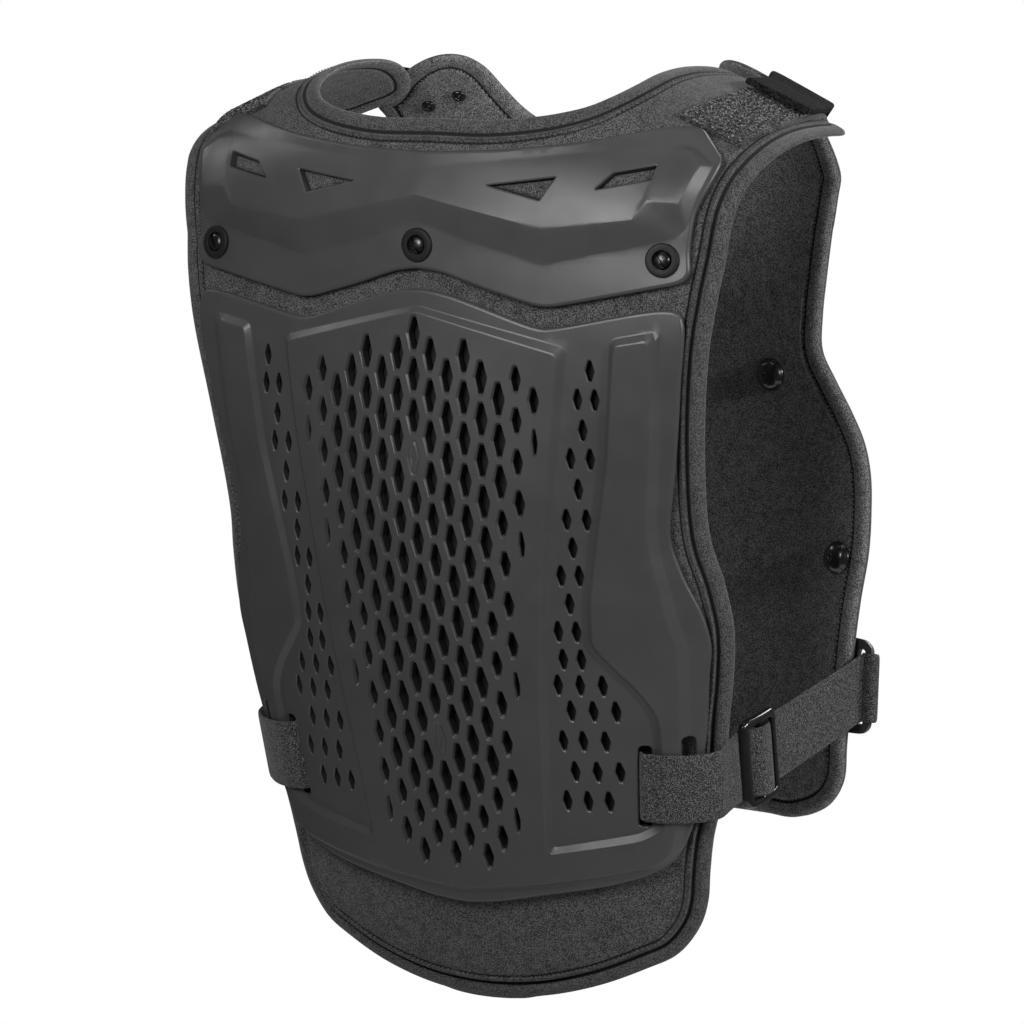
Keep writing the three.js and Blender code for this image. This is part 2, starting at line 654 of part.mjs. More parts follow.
// A band of webbing along a route of pairs of points, one on each of its edges.
function ribbon(route, wall) {
  const middles = route.map((pair) => pair.upper.clone().add(pair.lower).multiplyScalar(0.5));
  const steps = middles.slice(1).map((point, i) => point.clone().sub(middles[i]).normalize());
  const loops = route.map((pair, i) => {
    const into = steps[Math.max(i - 1, 0)];
    const out = steps[Math.min(i, steps.length - 1)];
    const along = into.clone().add(out).normalize();
    const up = pair.upper.clone().sub(pair.lower);
    const face = along.clone().cross(up).normalize().multiplyScalar(wall / 2 / Math.max(along.dot(out), 0.7));
    return [
      pair.lower.clone().add(face),
      pair.lower.clone().sub(face),
      pair.upper.clone().sub(face),
      pair.upper.clone().add(face),
    ];
  });
  return loft(loops);
}

const vest = new THREE.Group();
vest.name = "armour_vest";
function addPiece(name, geometry, material) {
  const mesh = new THREE.Mesh(geometry, material);
  mesh.name = name;
  vest.add(mesh);
  return mesh;
}
const SIDE_NAMES = [
  { name: "left", sign: 1 },
  { name: "right", sign: -1 },
];
const handed = (geometry, sign) => (sign > 0 ? geometry : mirrored(geometry));

// Sets a small turned piece on the form, with its axis along the normal.
function seated(geometry, place, x, z, lift) {
  const foot = place(x, z, lift);
  const normal = place(x, z, lift + 1).sub(foot).normalize();
  const turn = new THREE.Quaternion().setFromUnitVectors(new THREE.Vector3(0, 0, 1), normal);
  return geometry.clone().applyQuaternion(turn).translate(foot.x, foot.y, foot.z);
}
const turned = (profile) =>
  welded(new THREE.LatheGeometry(profile.map(([r, h]) => new THREE.Vector2(r, h)), SIDES).rotateX(Math.PI / 2));

addPiece("front_panel", paddedPanel(FRONT_ROWS, FRONT_COLUMNS, CHEST_HALF, 0, -PANEL_WALL), FABRIC);
addPiece("back_panel", paddedPanel(BACK_ROWS, BACK_COLUMNS, BACK_HALF, FIT + PANEL_WALL, FIT), FABRIC);

// The chest plate: a sheet with a raised middle field, two raised side panels and two strap slots.
const plateTop = FIT + PLATE_WALL;
const fieldLoop = bothHalves(charted(FIELD_OUTLINE, PLATE_HALF, PLATE_TOP, PLATE_HEIGHT));
const sidePanelLoop = charted(SIDE_PANEL_OUTLINE, PLATE_HALF, PLATE_TOP, PLATE_HEIGHT);
function fieldHolds(x, z, margin) {
  let inside = true;
  fieldLoop.forEach((a, i) => {
    const b = fieldLoop[(i + 1) % fieldLoop.length];
    const along = b.clone().sub(a);
    const distance = (along.x * (z - a.y) - along.y * (x - a.x)) / along.length();
    if (-distance < margin) inside = false;
  });
  return inside;
}
function latticeHole(x, z) {
  const [tip, side, reach] = [HOLE_TIP / 2, HOLE_WIDTH / 2, HOLE_HEIGHT / 2];
  const corners = [
    new THREE.Vector2(tip, reach),
    new THREE.Vector2(side, 0),
    new THREE.Vector2(tip, -reach),
    new THREE.Vector2(-tip, -reach),
    new THREE.Vector2(-side, 0),
    new THREE.Vector2(-tip, reach),
  ];
  return corners.map((corner) => corner.add(new THREE.Vector2(x, z)));
}
function latticeHoles() {
  const loops = [];
  for (const { column, start, holes, filled } of LATTICE_COLUMNS)
    for (let row = 0; row < holes; row += 1) {
      const x = column * HOLE_PITCH;
      const z = -PLATE_TOP - FIRST_HOLE - (start + row) * HOLE_DROP;
      if (filled.includes(row) || !fieldHolds(x, z, HOLE_MARGIN)) continue;
      loops.push(latticeHole(x, z));
      if (column > 0) loops.push(latticeHole(-x, z));
    }
  return loops;
}
function slotLoop(x, drop, lean, width, length) {
  const [half, reach] = [width / 2, length / 2];
  return [
    new THREE.Vector2(x - lean / 2 - half, -drop - reach),
    new THREE.Vector2(x - lean / 2 + half, -drop - reach),
    new THREE.Vector2(x + lean / 2 + half, -drop + reach),
    new THREE.Vector2(x + lean / 2 - half, -drop + reach),
  ];
}
function chestPlate() {
  const outline = bothHalves(charted(PLATE_OUTLINE, PLATE_HALF, PLATE_TOP, PLATE_HEIGHT));
  let plate = slab(outline, FIT, plateTop)
    .add(slab(fieldLoop, FIT, plateTop + FIELD_RISE))
    .add(slab(sidePanelLoop, FIT, plateTop + SIDE_PANEL_RISE))
    .add(slab(flippedLoop(sidePanelLoop), FIT, plateTop + SIDE_PANEL_RISE));
  const slot = slotLoop(SLOT_X, SLOT_DROP, SLOT_LEAN, SLOT_WIDTH, SLOT_LENGTH);
  for (const loop of [slot, flippedLoop(slot), ...latticeHoles()])
    plate = plate.subtract(slab(loop, FIT - 1, plateTop + FIELD_RISE + 1));
  return bentOnto(frontPoint, geometryOf(plate), FACET, UPRIGHT_EASE);
}
addPiece("chest_plate", chestPlate(), MOULDED);

// The yoke: a rimmed sheet with a sloped raised block and four windows.
const yokeTop = FIT + YOKE_WALL;
function chestYoke() {
  const chart = (rows) => charted(rows, YOKE_HALF, YOKE_TOP, YOKE_HEIGHT);
  let yoke = slab(bothHalves(chart(YOKE_OUTLINE)), FIT, yokeTop);
  const foot = bothHalves(chart(YOKE_FOOT));
  const brow = bothHalves(chart(YOKE_BROW));
  yoke = yoke.add(slopedBlock(foot, brow, yokeTop - 1, yokeTop + YOKE_RISE));
  for (const rows of YOKE_WINDOWS)
    for (const loop of [chart(rows), flippedLoop(chart(rows))])
      yoke = yoke.subtract(slab(loop, FIT - 1, yokeTop + YOKE_RISE + 1));
  return bentOnto(frontPoint, geometryOf(yoke), YOKE_FACET, YOKE_EASE);
}
addPiece("chest_yoke", chestYoke(), MOULDED);

// Three screws through the yoke, each in a round washer.
const washer = turned([
  [SCREW_WIDTH / 2 + TOUCH, 0],
  [WASHER_WIDTH / 2, 0],
  [WASHER_WIDTH / 2, WASHER_HEIGHT * 0.6],
  [WASHER_WIDTH / 2 - FITTING_BEVEL, WASHER_HEIGHT],
  [SCREW_WIDTH / 2 + TOUCH, WASHER_HEIGHT],
  [SCREW_WIDTH / 2 + TOUCH, 0],
]);
const screwHead = turned([
  [0, 0],
  [SCREW_WIDTH / 2, 0],
  [SCREW_WIDTH / 2, SCREW_HEIGHT * 0.7],
  [SCREW_WIDTH / 2 - FITTING_BEVEL, SCREW_HEIGHT],
  [0, SCREW_HEIGHT],
]);
const driverSlot = new THREE.BoxGeometry(SCREW_WIDTH * 2, SCREW_SLOT, SCREW_HEIGHT);
driverSlot.translate(0, 0, SCREW_HEIGHT);
const screw = geometryOf(solidOf(screwHead).subtract(solidOf(driverSlot)));
const SCREW_PLACES = [
  { name: "left", x: SCREW_HALF, drop: SCREW_DROP },
  { name: "middle", x: 0, drop: SCREW_MIDDLE_DROP },
  { name: "right", x: -SCREW_HALF, drop: SCREW_DROP },
];
for (const { name, x, drop } of SCREW_PLACES) {
  addPiece(`yoke_washer_${name}`, seated(washer, frontPoint, x, -drop, yokeTop + SEAT), GLOSS);
  addPiece(`yoke_screw_${name}`, seated(screw, frontPoint, x, -drop, yokeTop + SEAT), DARK_METAL);
}

// The back plate, with a lug for a strap at each side.
const backFace = 2 * FIT + PANEL_WALL;
const backPlateTop = backFace + BACK_PLATE_WALL;
const lugSlotX = LUG_REACH - LUG_BAR - LUG_SLOT_WIDTH / 2;
function backPlate() {
  const outline = bothHalves(charted(BACK_PLATE_OUTLINE, BACK_PLATE_HALF, BACK_PLATE_TOP, BACK_PLATE_HEIGHT));
  const middle = -BACK_PLATE_TOP - BACK_PLATE_HEIGHT / 2;
  const inset = outline.map(
    (p) => new THREE.Vector2(p.x * BACK_FIELD_ACROSS, middle + (p.y - middle) * BACK_FIELD_DOWN),
  );
  const [low, high] = [-LUG_DROP - LUG_HEIGHT / 2, -LUG_DROP + LUG_HEIGHT / 2];
  const lug = [
    new THREE.Vector2(BACK_PLATE_HALF * BACK_FIELD_ACROSS, low),
    new THREE.Vector2(LUG_REACH, low + LUG_TAPER),
    new THREE.Vector2(LUG_REACH, high - LUG_TAPER),
    new THREE.Vector2(BACK_PLATE_HALF * BACK_FIELD_ACROSS, high),
  ];
  let plate = slab(outline, backFace, backPlateTop)
    .add(slab(inset, backFace, backPlateTop + BACK_PLATE_RISE))
    .add(slab(lug, backFace, backPlateTop))
    .add(slab(flippedLoop(lug), backFace, backPlateTop));
  const slot = slotLoop(lugSlotX, LUG_DROP, 0, LUG_SLOT_WIDTH, LUG_SLOT_LENGTH);
  for (const loop of [slot, flippedLoop(slot)])
    plate = plate.subtract(slab(loop, backFace - 1, backPlateTop + 1));
  return turnedRound(bentOnto(backPoint, geometryOf(plate), FACET, UPRIGHT_EASE));
}

// A plate bent onto the back is drawn as seen through the vest, so its faces are turned round.
function turnedRound(geometry) {
  const index = geometry.index.array;
  for (let i = 0; i < index.length; i += 3) [index[i + 1], index[i + 2]] = [index[i + 2], index[i + 1]];
  return geometry;
}
addPiece("back_plate", backPlate(), MOULDED);

// Loop patches on the shoulders, and the hook tabs that come over from the back and lie on them.
const PATCH_ROWS = [
  { x: 142, station: 0.272, slant: -0.024 },
  { x: 143.5, station: 0.305, slant: -0.018 },
  { x: 146.5, station: 0.35, slant: -0.01 },
  { x: 149.5, station: 0.41, slant: 0 },
  { x: 149, station: 0.47, slant: 0 },
  { x: 146, station: 0.53, slant: 0 },
  { x: 142, station: 0.59, slant: 0.01 },
  { x: 139, station: 0.63, slant: 0.02 },
];
const onPanel = 2 * TOUCH;
const onPatch = onPanel + PATCH_WALL + TOUCH;
const onBack = FIT + PANEL_WALL + 2 * TOUCH;
// Columns: middle line, station, slant, and the share of the rise from the patch to the back panel.
const TAB_ROWS = [
  { x: 148, station: 0.487, slant: 0, rise: 0.35 },
  { x: 146, station: 0.52, slant: 0, rise: 0.1 },
  { x: 143.5, station: 0.56, slant: 0, rise: 0.02 },
  { x: 140, station: 0.6, slant: 0.01, rise: 0 },
  { x: 137, station: 0.635, slant: 0.02, rise: 0.08 },
  { x: 133, station: 0.665, slant: 0.035, rise: 0.5 },
  { x: 128, station: 0.695, slant: 0.04, rise: 1 },
  { x: 122, station: 0.735, slant: 0.03, rise: 1 },
  { x: 114, station: 0.785, slant: 0.015, rise: 1 },
  { x: 107, station: 0.835, slant: 0, rise: 1 },
];
const patchRows = PATCH_ROWS.map((row) => ({ ...row, lift: onPanel }));
const tabRows = TAB_ROWS.map((row) => ({ ...row, lift: onPatch + (onBack - onPatch) * row.rise }));
const patch = formStrip(patchRows, TAB_WIDTH, PATCH_WALL);
const tab = formStrip(tabRows, TAB_WIDTH, TAB_WALL);

// Rivets of the tabs, and the round studs of the back plate, on the inside of the back panel.
const rivet = turned([
  [RIVET_WIDTH / 4, 0],
  [RIVET_WIDTH / 2, 0],
  [RIVET_WIDTH / 2.6, RIVET_HEIGHT],
  [RIVET_WIDTH / 4, RIVET_HEIGHT],
  [RIVET_WIDTH / 4, 0],
]).rotateX(Math.PI);
const stud = turned([
  [0, 0],
  [DOME_WIDTH / 2, 0],
  [DOME_WIDTH * 0.46, DOME_HEIGHT * 0.45],
  [DOME_WIDTH * 0.32, DOME_HEIGHT * 0.83],
  [0, DOME_HEIGHT],
]).rotateX(Math.PI);
const RIVET_PLACES = [
  { name: "inner", x: 90, drop: 7 },
  { name: "outer", x: 108, drop: 13 },
];
const STUD_PLACES = [
  { name: "upper", x: 92, drop: 156 },
  { name: "lower", x: 142, drop: 252 },
];

// The side strap: out of the chest plate's slot, through the slider and round the bar of the lug.
const buckleMiddle = new THREE.Vector3(BUCKLE_X, BUCKLE_Y, -BUCKLE_DROP);
const lugMiddle = backPoint(lugSlotX, -LUG_DROP, 0);
const toLug = lugMiddle.clone().sub(buckleMiddle);
const along = new THREE.Vector3(toLug.x * BUCKLE_TURN, toLug.y, toLug.z * BUCKLE_TURN).normalize();
const outward = along.clone().cross(new THREE.Vector3(0, 0, 1)).normalize();
const upright = outward.clone().cross(along);
const barEdge = BUCKLE_LENGTH / 2 - BUCKLE_BAR;
const weave = BUCKLE_WALL / 2 + WEB_WALL;
function atPlate(x, lift) {
  const lean = (SLOT_LEAN * WEB_WIDTH) / SLOT_LENGTH / 2;
  const reach = WEB_WIDTH / 2;
  return {
    upper: frontPoint(x + lean, -SLOT_DROP + reach, lift),
    lower: frontPoint(x - lean, -SLOT_DROP - reach, lift),
  };
}
function atBuckle(t, rise) {
  const middle = buckleMiddle.clone().addScaledVector(along, t).addScaledVector(outward, rise);
  const half = upright.clone().multiplyScalar(WEB_WIDTH / 2);
  return { upper: middle.clone().add(half), lower: middle.clone().sub(half) };
}
function atLug(x, lift) {
  const reach = WEB_WIDTH / 2;
  return { upper: backPoint(x, -LUG_DROP + reach, lift), lower: backPoint(x, -LUG_DROP - reach, lift) };
}
function between(a, b, t) {
  return { upper: a.upper.clone().lerp(b.upper, t), lower: a.lower.clone().lerp(b.lower, t) };
}
function strapRoute() {
  const onPlate = plateTop + TOUCH + WEB_WALL;
  const barInside = backFace - TOUCH - WEB_WALL / 2;
  const barOutside = backPlateTop + TOUCH + WEB_WALL / 2;
  const pastBar = LUG_REACH + 2 * TOUCH + WEB_WALL / 2;
  const fromPlate = atPlate(PLATE_HALF * STRAP_LEAVES, onPlate);
  const intoBuckle = atBuckle(-BUCKLE_LENGTH / 2 - BUCKLE_APPROACH, -weave * APPROACH_DIP);
  const bend = atPlate(PAST_PANEL, WEB_WALL);
  const outOfBuckle = atBuckle(BUCKLE_LENGTH / 2 + BUCKLE_APPROACH, -weave * APPROACH_DIP);
  const toBar = atLug(LUG_REACH - LUG_BAR + BAR_EASE, barInside);
  return [
    atPlate(SLOT_X, FIT + WEB_WALL / 2),
    atPlate(SLOT_X, plateTop),
    ...STRAP_ON_PLATE.map((reach) => atPlate(SLOT_X + reach, onPlate)),
    fromPlate,
    bend,
    intoBuckle,
    atBuckle(-barEdge, -weave),
    atBuckle(-BUCKLE_BAR / 2, weave),
    atBuckle(BUCKLE_BAR / 2, weave),
    atBuckle(barEdge, -weave),
    outOfBuckle,
    ...REAR_STEPS.map((share) => between(outOfBuckle, toBar, share)),
    toBar,
    atLug(LUG_REACH, barInside),
    atLug(pastBar, backFace),
    atLug(pastBar, backPlateTop),
    atLug(LUG_REACH, barOutside),
    atLug(LUG_REACH - LUG_BAR, barOutside),
    atLug(lugSlotX + TUCK, backPlateTop),
    atLug(lugSlotX, backFace + TUCK_DEPTH),
  ];
}
const sideStrap = ribbon(strapRoute(), WEB_WALL);
function roundedLoop(halfAcross, halfUp, radius) {
  const corners = [[1, -1], [1, 1], [-1, 1], [-1, -1]];
  return corners.flatMap(([sideways, upwards], quarter) =>
    Array.from({ length: CORNER_STEPS + 1 }, (_, i) => {
      const angle = (Math.PI / 2) * (quarter - 1 + i / CORNER_STEPS);
      return new THREE.Vector2(
        sideways * (halfAcross - radius) + radius * Math.cos(angle),
        upwards * (halfUp - radius) + radius * Math.sin(angle),
      );
    }),
  );
}
function sliderBuckle() {
  const opening = WEB_WIDTH / 2 + BUCKLE_GAP;
  const frame = roundedLoop(BUCKLE_LENGTH / 2, opening + BUCKLE_RAIL, BUCKLE_RAIL);
  const middle = (barEdge + BUCKLE_BAR / 2) / 2;
  const window = new THREE.BoxGeometry(barEdge - BUCKLE_BAR / 2, 2 * opening, 2 * BUCKLE_WALL);
  const flat = slab(frame, -BUCKLE_WALL / 2, BUCKLE_WALL / 2)
    .subtract(solidOf(window.clone().translate(middle, 0, 0)))
    .subtract(solidOf(window.clone().translate(-middle, 0, 0)));
  const place = new THREE.Matrix4().makeBasis(along, upright, outward).setPosition(buckleMiddle);
  return geometryOf(flat).applyMatrix4(place);
}
const slider = sliderBuckle();

for (const { name, sign } of SIDE_NAMES) {
  addPiece(`loop_patch_${name}`, handed(patch, sign), LOOP_PILE);
  addPiece(`shoulder_tab_${name}`, handed(tab, sign), LOOP_PILE);
  addPiece(`side_strap_${name}`, handed(sideStrap, sign), WEBBING);
  addPiece(`strap_slider_${name}`, handed(slider, sign), GLOSS);
  for (const place of RIVET_PLACES)
    addPiece(
      `tab_rivet_${place.name}_${name}`,
      seated(rivet, backPoint, sign * place.x, -place.drop, FIT - SEAT),
      DARK_METAL,
    );
  for (const place of STUD_PLACES)
    addPiece(
      `back_stud_${place.name}_${name}`,
      seated(stud, backPoint, sign * place.x, -place.drop, FIT - SEAT),
      GLOSS,
    );
}

export default vest;
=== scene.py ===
# The looks of a motorcycle armour vest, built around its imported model. Shapes are worked out in
# millimetres, as the model is, and every mesh is scaled to metres when it is made.
import math

import bmesh
import bpy
import numpy as np
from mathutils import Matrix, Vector
from mathutils.geometry import delaunay_2d_cdt


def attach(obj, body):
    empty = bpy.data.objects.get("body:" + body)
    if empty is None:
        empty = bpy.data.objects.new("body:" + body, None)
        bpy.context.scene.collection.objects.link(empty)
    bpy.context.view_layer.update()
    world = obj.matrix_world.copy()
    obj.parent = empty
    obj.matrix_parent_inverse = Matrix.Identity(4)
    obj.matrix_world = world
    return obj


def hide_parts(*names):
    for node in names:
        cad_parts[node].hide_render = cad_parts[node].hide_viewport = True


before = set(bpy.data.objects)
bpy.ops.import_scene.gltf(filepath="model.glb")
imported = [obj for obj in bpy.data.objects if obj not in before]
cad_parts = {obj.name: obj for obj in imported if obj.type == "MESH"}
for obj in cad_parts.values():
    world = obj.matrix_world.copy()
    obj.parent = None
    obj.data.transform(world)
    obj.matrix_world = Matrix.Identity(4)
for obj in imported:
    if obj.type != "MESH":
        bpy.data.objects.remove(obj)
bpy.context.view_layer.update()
MM = 0.001

# Camera, light and floor. The camera stands ahead of the vest and to its left, a little above its top.
# The backdrop is plain white and the room around is dim. Six soft round lamps light the vest from the
# front, from above, from both sides and from behind, and a pale floor lies well below it.
CAMERA_PLACE = (1.4292, -2.5983, 0.1379)
CAMERA_AIM = (0.0, -0.020, -0.224)
LENS = 193.4
SENSOR = 36.0
FARTHEST = 100
FLOOR_DROP = 1.1
FLOOR_RADIUS = 1.2
ROOM = 0.09
BACKGROUND = 1.0
LAMP_AIM = (0, 0, -0.2)
# The place, width and power of each lamp.
LAMPS = {
    "lamp_front": ((0.06, -0.84, 0.2), 0.45, 6.4),
    "lamp_above": ((0.1, -0.2, 1.5), 0.9, 2),
    "lamp_right_side": ((1.8, 0.45, 0.35), 0.45, 16),
    "lamp_glint": ((1.86, -0.4, 0.37), 0.26, 17),
    "lamp_left_side": ((-1.4, -0.2, 0.9), 0.5, 3),
    "lamp_behind": ((0.4, 1.6, 0.8), 0.8, 16),
}


def aimed(thing, place, aim):
    """Stands a camera or a lamp at a place, looking at another."""
    thing.location = place
    thing.rotation_euler = (Vector(aim) - Vector(place)).to_track_quat("-Z", "Y").to_euler()


camera = bpy.data.objects.new("camera", bpy.data.cameras.new("camera"))
camera.data.lens = LENS
camera.data.sensor_width = SENSOR
camera.data.clip_end = FARTHEST
bpy.context.collection.objects.link(camera)
aimed(camera, CAMERA_PLACE, CAMERA_AIM)
bpy.context.scene.camera = camera
bpy.context.scene.view_settings.view_transform = "Standard"

for name, (place, width, power) in LAMPS.items():
    light = bpy.data.lights.new(name, "AREA")
    light.shape = "DISK"
    light.size = width
    light.energy = power
    lamp = bpy.data.objects.new(name, light)
    bpy.context.collection.objects.link(lamp)
    aimed(lamp, place, LAMP_AIM)

world = bpy.data.worlds.new("studio")
bpy.context.scene.world = world
world.use_nodes = True
sky = world.node_tree.nodes
room = sky["Background"]
room.inputs["Strength"].default_value = ROOM
seen = sky.new("ShaderNodeBackground")
seen.inputs["Color"].default_value = (1, 1, 1, 1)
seen.inputs["Strength"].default_value = BACKGROUND
room.inputs["Color"].default_value = (1, 1, 1, 1)
path = sky.new("ShaderNodeLightPath")
either = sky.new("ShaderNodeMixShader")
world.node_tree.links.new(path.outputs["Is Camera Ray"], either.inputs[0])
world.node_tree.links.new(room.outputs[0], either.inputs[1])
world.node_tree.links.new(seen.outputs[0], either.inputs[2])
world.node_tree.links.new(either.outputs[0], sky["World Output"].inputs["Surface"])


def grey(level):
    return (level, level, level * 1.03)


class Value:
    """A number in a material's nodes, so that sums of it can be written as expressions."""

    def __init__(self, finish, socket):
        self.finish = finish
        self.socket = socket

    def sum(self, operation, *others):
        inputs = dict(enumerate((self, *others)))
        return self.finish.node("ShaderNodeMath", {"operation": operation}, inputs)

    def __add__(self, other):
        return self.sum("ADD", other)

    def __mul__(self, other):
        return self.sum("MULTIPLY", other)

    __radd__ = __add__
    __rmul__ = __mul__


class Finish:
    """A material, with short ways to add the nodes that it is made of."""

    def __init__(self, name):
        self.material = bpy.data.materials.new(name)
        self.material.use_nodes = True
        self.nodes = self.material.node_tree.nodes
        self.shader = self.nodes["Principled BSDF"]

    def node(self, kind, settings=None, inputs=None, output=0):
        made = self.nodes.new(kind)
        for name, value in (settings or {}).items():
            if name == "stops":
                ramp = made.color_ramp
                while len(ramp.elements) < len(value):
                    ramp.elements.new(0.5)
                for stop, (place, shade) in zip(ramp.elements, value):
                    stop.position = place
                    stop.color = (*shade, 1)
            else:
                setattr(made, name, value)
        for name, value in (inputs or {}).items():
            if isinstance(value, Value):
                self.material.node_tree.links.new(value.socket, made.inputs[name])
            else:
                made.inputs[name].default_value = value
        return Value(self, made.outputs[output])

    def noise(self, scale, detail=2.0, roughness=0.5):
        """Noise over the piece's own places, in metres."""
        spot = self.node("ShaderNodeTexCoord", output=3)
        inputs = {"Vector": spot, "Scale": scale, "Detail": detail, "Roughness": roughness}
        return self.node("ShaderNodeTexNoise", inputs=inputs)

    def shades(self, factor, stops):
        """Greys that go with the factor, each stop with its place and its level."""
        stops = [(place, grey(level)) for place, level in stops]
        return self.node("ShaderNodeValToRGB", {"stops": stops}, {"Fac": factor})

    def mottled(self, low, high, *grain):
        """Noise that runs from one level to another."""
        return self.shades(self.noise(*grain), [(0.3, low), (0.7, high)])

    def set(self, **inputs):
        for name, value in inputs.items():
            socket = self.shader.inputs[name.replace("_", " ")]
            if isinstance(value, Value):
                self.material.node_tree.links.new(value.socket, socket)
            else:
                socket.default_value = value

    def bump(self, height, depth):
        """Raises the surface by a height from 0 to 1 of a depth in millimetres."""
        inputs = {"Height": height, "Distance": depth * MM, "Strength": 1.0}
        self.set(Normal=self.node("ShaderNodeBump", inputs=inputs))


pale = Finish("pale_floor")
pale.set(Base_Color=(0.8, 0.8, 0.8, 1), Roughness=0.9)
floor_place = (0, 0, -FLOOR_DROP)
bpy.ops.mesh.primitive_circle_add(vertices=96, radius=FLOOR_RADIUS, fill_type="NGON", location=floor_place)
floor = bpy.context.object
floor.name = "floor"
floor.data.materials.append(pale.material)

# The worn form. Every piece lies on one smooth surface: up the chest, over the shoulders and down the
# back. A place on it is a half width and a station, from -1 at the front hem and 0 at the base of the
# shoulder, through 0.5 at the crest and 1 at the base behind, to 2 at the back hem.
CHEST_REACH = 118.5
BACK_REACH = 115
SHOULDER_BASE = 74
FRONT_FALL = 410
BACK_FALL = 322
CREST_RISE = 44.4
SHOULDER_SLOPE = 0.47
SHOULDER_EASE = 60
SHOULDER_ROUNDNESS = 2.5
FORM_HALF = 150
FRONT_SET_BACK = 50
BACK_SET_FORWARD = 28
FIT = 1.8
STATION_STEP = 0.002


def table(names, rows):
    """Named columns from rows of numbers."""
    return dict(zip(names.split(), np.array(rows, float).T))


FRONT_SECTIONS = table("fall reach set power", [
    (0, 0.983, 0.46, 1.8), (0.054, 0.992, 0.42, 1.7), (0.122, 1, 0.44, 1.7), (0.22, 1.002, 0.6, 1.8),
    (0.317, 0.987, 0.78, 1.9), (0.439, 0.932, 0.94, 2), (0.561, 0.84, 0.98, 2.1), (0.683, 0.722, 1, 2.2),
    (0.805, 0.612, 1, 2.2), (0.902, 0.515, 0.96, 2.2), (1, 0.4, 0.9, 2.2),
])
BACK_SECTIONS = table("fall reach set power", [
    (0, 0.927, 0.79, 2), (0.155, 0.976, 0.79, 2), (0.31, 1, 0.86, 2), (0.466, 0.992, 0.93, 2),
    (0.621, 0.951, 1, 2), (0.776, 0.902, 1, 2), (1, 0.878, 1, 2),
])


def smooth_column(rows, column, fall):
    """A smooth curve through a column of a table, read at any share of the fall."""
    at, value = rows["fall"], rows[column]
    before = np.maximum(np.arange(len(at)) - 1, 0)
    after = np.minimum(np.arange(len(at)) + 1, len(at) - 1)
    slope = (value[after] - value[before]) / (at[after] - at[before])
    fall = np.clip(fall, 0, 1)
    i = np.clip(np.searchsorted(at, fall, "right") - 1, 0, len(at) - 2)
    span = at[i + 1] - at[i]
    t = (fall - at[i]) / span
    flat = t * t * (3 - 2 * t)
    rise = t * (1 - t) ** 2 * slope[i] - t * t * (1 - t) * slope[i + 1]
    return value[i] * (1 - flat) + value[i + 1] * flat + rise * span


def depth(rows, reach, set_back, x, fall):
    """How far ahead of or behind the middle plane a section of the form stands at a half width."""
    aside = (np.abs(x) / FORM_HALF) ** smooth_column(rows, "power", fall)
    return reach * smooth_column(rows, "reach", fall) - set_back * smooth_column(rows, "set", fall) * aside


def crest(x):
    """The height of the top of the shoulders."""
    return CREST_RISE - SHOULDER_SLOPE * (np.hypot(x, SHOULDER_EASE) - SHOULDER_EASE)


def form(x, station):
    """The places on the worn form at half widths and stations."""
    x, station = np.broadcast_arrays(np.asarray(x, float), np.asarray(station, float))
    ahead = -depth(FRONT_SECTIONS, CHEST_REACH, FRONT_SET_BACK, x, -station)
    behind = depth(BACK_SECTIONS, BACK_REACH, BACK_SET_FORWARD, x, station - 1)
    turn = np.pi * np.clip(station, 0, 1)
    along = np.abs(np.cos(turn)) ** (2 / SHOULDER_ROUNDNESS)
    up = np.sin(turn).clip(0) ** (2 / SHOULDER_ROUNDNESS)
    fallen = np.clip(station, -1.1, 0) * FRONT_FALL - np.clip(station - 1, 0, 1.1) * BACK_FALL
    z = -SHOULDER_BASE + fallen + (crest(x) + SHOULDER_BASE) * up
    return np.stack([x, np.where(station < 0.5, ahead, behind) * along, z], -1)


def slopes(x, station):
    """How a place on the form moves with a millimetre across and with a step of the station."""
    across = (form(x + 1, station) - form(x - 1, station)) / 2
    along = (form(x, station + STATION_STEP) - form(x, station - STATION_STEP)) / (2 * STATION_STEP)
    return across, along


def unit(vectors):
    return vectors / np.linalg.norm(vectors, axis=-1, keepdims=True)


def lifted(x, station, lift):
    """A place above the form, along its outward normal."""
    across, along = slopes(x, station)
    return form(x, station) + unit(np.cross(across, along)) * np.asarray(lift, float)[..., None]


def station_at(x, z, behind):
    """The station at a height, on the front or behind."""
    above = z + SHOULDER_BASE
    up = np.clip(above / (crest(x) + SHOULDER_BASE), 0, 1) ** (SHOULDER_ROUNDNESS / 2)
    turn = np.arcsin(up) / np.pi
    if behind:
        return np.where(above <= 0, 1 - above / BACK_FALL, 1 - turn)
    return np.where(above <= 0, above / FRONT_FALL, turn)


def on_front(flat, lift):
    return lifted(flat[:, 0], station_at(flat[:, 0], flat[:, 1], False), lift)


def on_back(flat, lift):
    return lifted(flat[:, 0], station_at(flat[:, 0], flat[:, 1], True), lift)


# Flat plans. A sheet is planned flat, as border loops with lines and points inside them, cut into
# triangles, and then bent onto the form as a closed shell with a top and a bottom.
SMOOTH_ANGLE = math.radians(38)
# The turn of a corner for each point on it, and the gap between rows of an even spread of points.
BEND = 0.3
ROW_GAP = 0.866


def corner(start, here, end, bends):
    """A curve round a corner, with a point at each bend."""
    return [start * (1 - t) ** 2 + here * 2 * t * (1 - t) + end * t**2 for t in np.linspace(0, 1, bends + 1)]


